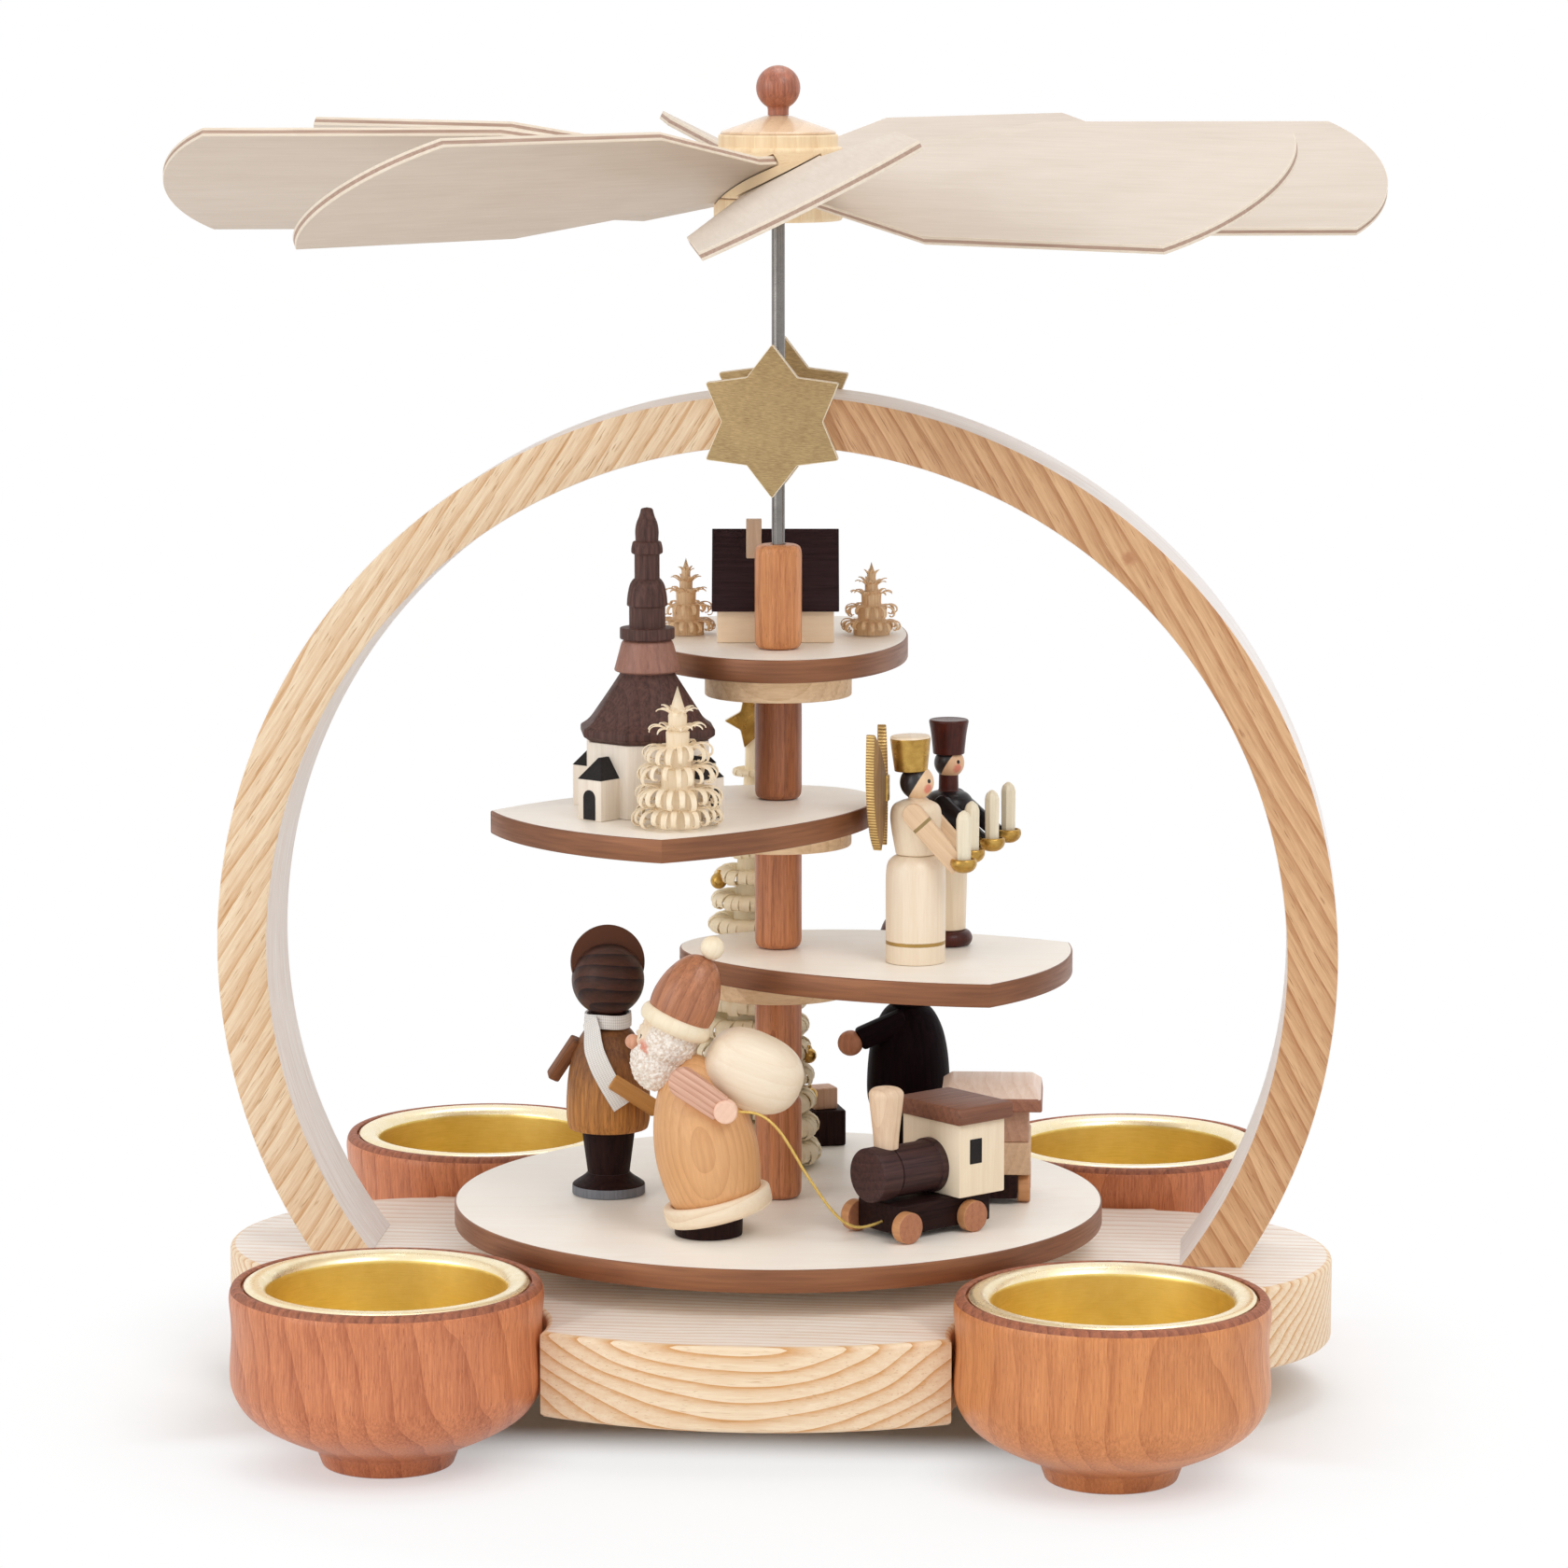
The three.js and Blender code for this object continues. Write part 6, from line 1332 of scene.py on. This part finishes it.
def build_presents():
    kit = Kit(on_tier(1, 8, 46, 12), "presents", "dark_stain", "present_")
    kit.add("large", block(7.6, 7.0, 6.6, 0.35), "dark_stain")
    kit.add("small", block(4.6, 4.6, 4.0, 0.3).moved(at(0, 0, 6.6, 8)), "tan_box", slot="light_wood")


# First tier: train

def wheel_set(kit, radius, thick, base, width):
    path = [(0, -thick / 2), (radius, -thick / 2, 0.3, 1), (radius, thick / 2, 0.3), (0, thick / 2)]
    for i, (x, side) in enumerate([(-base / 2, -1), (-base / 2, 1), (base / 2, -1), (base / 2, 1)]):
        spot = at(x, side * (width / 2 + thick / 2), radius) @ tilt(-90 * side, "X")
        kit.turned(f"wheel_{i + 1}", path, ["wheel_wood", "tyre_wood"], spot, "dark_stain", 48,
                   seed=f"{kit.prefix[:-1]}{i}")


def build_loco():
    place, axis = on_tier(1, 23.3, -27.3, 220), 11.05
    below = Kit(place, "loco_chassis", "dark_stain", "loco_")
    above = Kit(place, "loco_body", "dark_stain", "loco_")
    chassis = block(20.6, 11.0, 5.1, 0.3, bottom=1.1).moved(at(-2.3))
    below.add("frame", chassis.grained(GRAIN_ALONG_X), "dark_stain")
    wheel_set(below, 2.7, 2.1, 14.8, 11.2)
    boiler = lathe([(0, -0.6), (4.75, -0.6, 0.2), (4.75, 1.2, 0.25), (4.4, 1.3, 0.1), (4.4, 9.7, 0.1),
                    (4.15, 9.8, 0.05), (4.15, 10.1, 0.05), (4.7, 10.2, 0.25), (4.7, 14.4, 0.4),
                    (0, 14.5)], 64)
    above.add("boiler", boiler.moved(at(-3.8, 0, axis) @ tilt(90)), "loco_wood", seed=21)
    chimney = lathe([(0, 0), (2.1, 0, 0.1), (2.25, 2.5, 1), (2.95, 8.6, 0.5), (3.05, 9.7, 0.7),
                     (2.3, 10.5, 0.8), (0, 10.7)], 48)
    above.add("chimney", chimney.moved(at(6.4, 0, axis + 4.2)), "loco_chimney", slot="light_wood")
    cab = block(10.4, 14.8, 12.8, 0.25, bottom=6.25).moved(at(-9.0))
    above.add("cab", cab, "cab_wood", slot="light_wood")
    for side, word in SIDES:
        pane = standing(board([(-1.35, 0, 0.1), (1.35, 0, 0.1), (1.35, 4.3, 0.1), (-1.35, 4.3, 0.1)], 0.05))
        pane.moved(at(-7.5, side * 7.42, 11.9))
        above.add(f"window_{word}", pane, "black_paint", sharp=20)
    roof = block(12.6, 17.0, 2.9, 0.5, bottom=19.05).moved(at(-9.0))
    above.add("roof", roof.grained(GRAIN_ALONG_X), "cab_roof")


def build_wagon():
    kit = Kit(on_tier(1, 37.6, 1.4, 267), "wagon", "wagon_wood", "wagon_")
    wheel_set(kit, 2.6, 2.2, 10.6, 9.4)
    for name, size, bevel, bottom, look in (("frame", (17, 9.3, 4.2), 0.25, 1.1, "dark_stain"),
                                            ("lower", (17, 13.8, 5.8), 0.35, 5.3, "wagon_low"),
                                            ("upper", (16.4, 13.2, 5.8), 0.3, 11.1, "wagon_high")):
        kit.add(name, block(*size, bevel, bottom).grained(GRAIN_ALONG_X), look)
    rows = [(21.0, 18.0, 16.9), (20.4, 17.4, 19.2), (9.0, 14.4, 21.2)]
    corners = ((-1, -1), (1, -1), (1, 1), (-1, 1))
    points = [(sx * l / 2, sy * w / 2, z) for l, w, z in rows for sx, sy in corners]
    roof = Form(points, bands(4, 3) + caps(4, 3), [0] * 4 + [1] * 4 + [0, 1]).grained(GRAIN_ALONG_X)
    soft = kit.add("roof", roof, ["wagon_side", "wagon_top"], sharp=20).modifiers.new("rim", "BEVEL")
    soft.width, soft.segments, soft.limit_method = 0.0004, 3, "ANGLE"


small_tree("small_tree_right", 16.5, 21, 1.0, 10)
small_tree("small_tree_left", -16.4, 21.5, 1.05, 40)
for build in (front_tree, tall_tree, build_house, build_church, build_angel, build_wings, build_miner,
              build_bearer, build_child, build_dark_figure, build_presents, build_loco, build_wagon):
    build()


# Floor and light

FLOOR_REACH = 4
CUP_PLACE = (0.0603, 0.062, 0)


def build_floor():
    """A pale floor that keeps the object's shadow and runs out to a painted white glow for the camera, held
    back under the base and round the cup feet to paint deeper shade there.
    """
    s = Shader("floor")
    place = s.node("TexCoord").outputs["Object"]
    tone = s.noise(place, 40, 3)
    for socket, value in (("Base Color", s.remap(tone, 0.3, 0.7, 0.93, 0.96)),
                          ("Roughness", s.remap(tone, 0.3, 0.7, 0.75, 0.85))):
        s.feed(s.surface.inputs[socket], value)
    corner = s.vector("ABSOLUTE", place)
    depth = s.node("SeparateXYZ", {0: corner}).outputs["Y"]
    foot = s.vector("LENGTH", s.vector("SUBTRACT", corner, CUP_PLACE))
    path = s.node("LightPath").outputs
    seen = s.math("MAXIMUM", path["Is Glossy Ray"], path["Is Transmission Ray"])
    seen = s.math("MAXIMUM", path["Is Camera Ray"], seen)
    # The white glow is painted light. It is held back under the base and round each cup foot, which paints
    # the shadow deeper there.
    far = s.remap(s.vector("LENGTH", place), 0.08, 0.14, smooth=True)
    white_glow_share = s.math("MAXIMUM", s.remap(depth, 0.036, 0.058, 0.0, 0.82, smooth=True), far)
    white_glow_share = s.math("MULTIPLY", white_glow_share, s.remap(foot, 0.011, 0.034, 0.55, 1.0, smooth=True))
    white = s.node("Emission", {"Color": (1, 1, 1, 1), "Strength": 1.0})
    white_glow_share = s.math("MULTIPLY", white_glow_share, seen)
    blend = s.node("MixShader", {0: white_glow_share, 1: s.surface.outputs[0], 2: white.outputs[0]})
    s.feed(s.tree.nodes["Material Output"].inputs[0], blend.outputs[0])
    mesh = bpy.data.meshes.new("floor")
    corners = [(FLOOR_REACH * x, FLOOR_REACH * y, 0) for x, y in ((-1, -1), (1, -1), (1, 1), (-1, 1))]
    mesh.from_pydata(corners, [], [[0, 1, 2, 3]])
    mesh.materials.append(s.material)
    link("floor", mesh)


def add_lamp(name, place, size, power):
    data = bpy.data.lights.new(name, "AREA")
    data.shape, data.size, data.energy = "DISK", size, power
    place_facing(link(name, data), place, Vector((0, 0, 0.1)) - Vector(place))


def build_world():
    """Soft light from all sides, which the camera and bright surfaces see as plain white."""
    world = bpy.data.worlds.new("world")
    bpy.context.scene.world = world
    world.use_nodes = True
    tree = world.node_tree
    tree.nodes.clear()
    out, mix, soft, white, path, seen, any_of = (tree.nodes.new("ShaderNode" + kind) for kind in (
        "OutputWorld", "MixShader", "Background", "Background", "LightPath", "Math", "Math"))
    seen.operation = any_of.operation = "MAXIMUM"
    for light, colour, strength in ((soft, (0.98, 0.985, 1, 1), 0.6), (white, (1, 1, 1, 1), 1.0)):
        light.inputs[0].default_value, light.inputs[1].default_value = colour, strength
    for source, socket in ((path.outputs["Is Camera Ray"], seen.inputs[0]),
                           (path.outputs["Is Glossy Ray"], seen.inputs[1]),
                           (seen.outputs[0], any_of.inputs[0]),
                           (path.outputs["Is Transmission Ray"], any_of.inputs[1]),
                           (any_of.outputs[0], mix.inputs[0]), (soft.outputs[0], mix.inputs[1]),
                           (white.outputs[0], mix.inputs[2]), (mix.outputs[0], out.inputs[0])):
        tree.links.new(source, socket)


build_floor()
build_world()
add_lamp("key", (0.75, -0.9, 1.25), 0.9, 7.5)
add_lamp("fill", (-1.1, -0.9, 0.6), 1.2, 6)
add_lamp("top", (0.1, 0.3, 1.5), 1.0, 7)
bpy.context.scene.view_settings.view_transform = "Standard"

# Plain metal parts that keep the CAD's shape
for name, look in (("bearing_cup", "steel_cup"), ("arch_bush", "brass_bush")):
    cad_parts[name].data.materials.clear()
    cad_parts[name].data.materials.append(M[look])
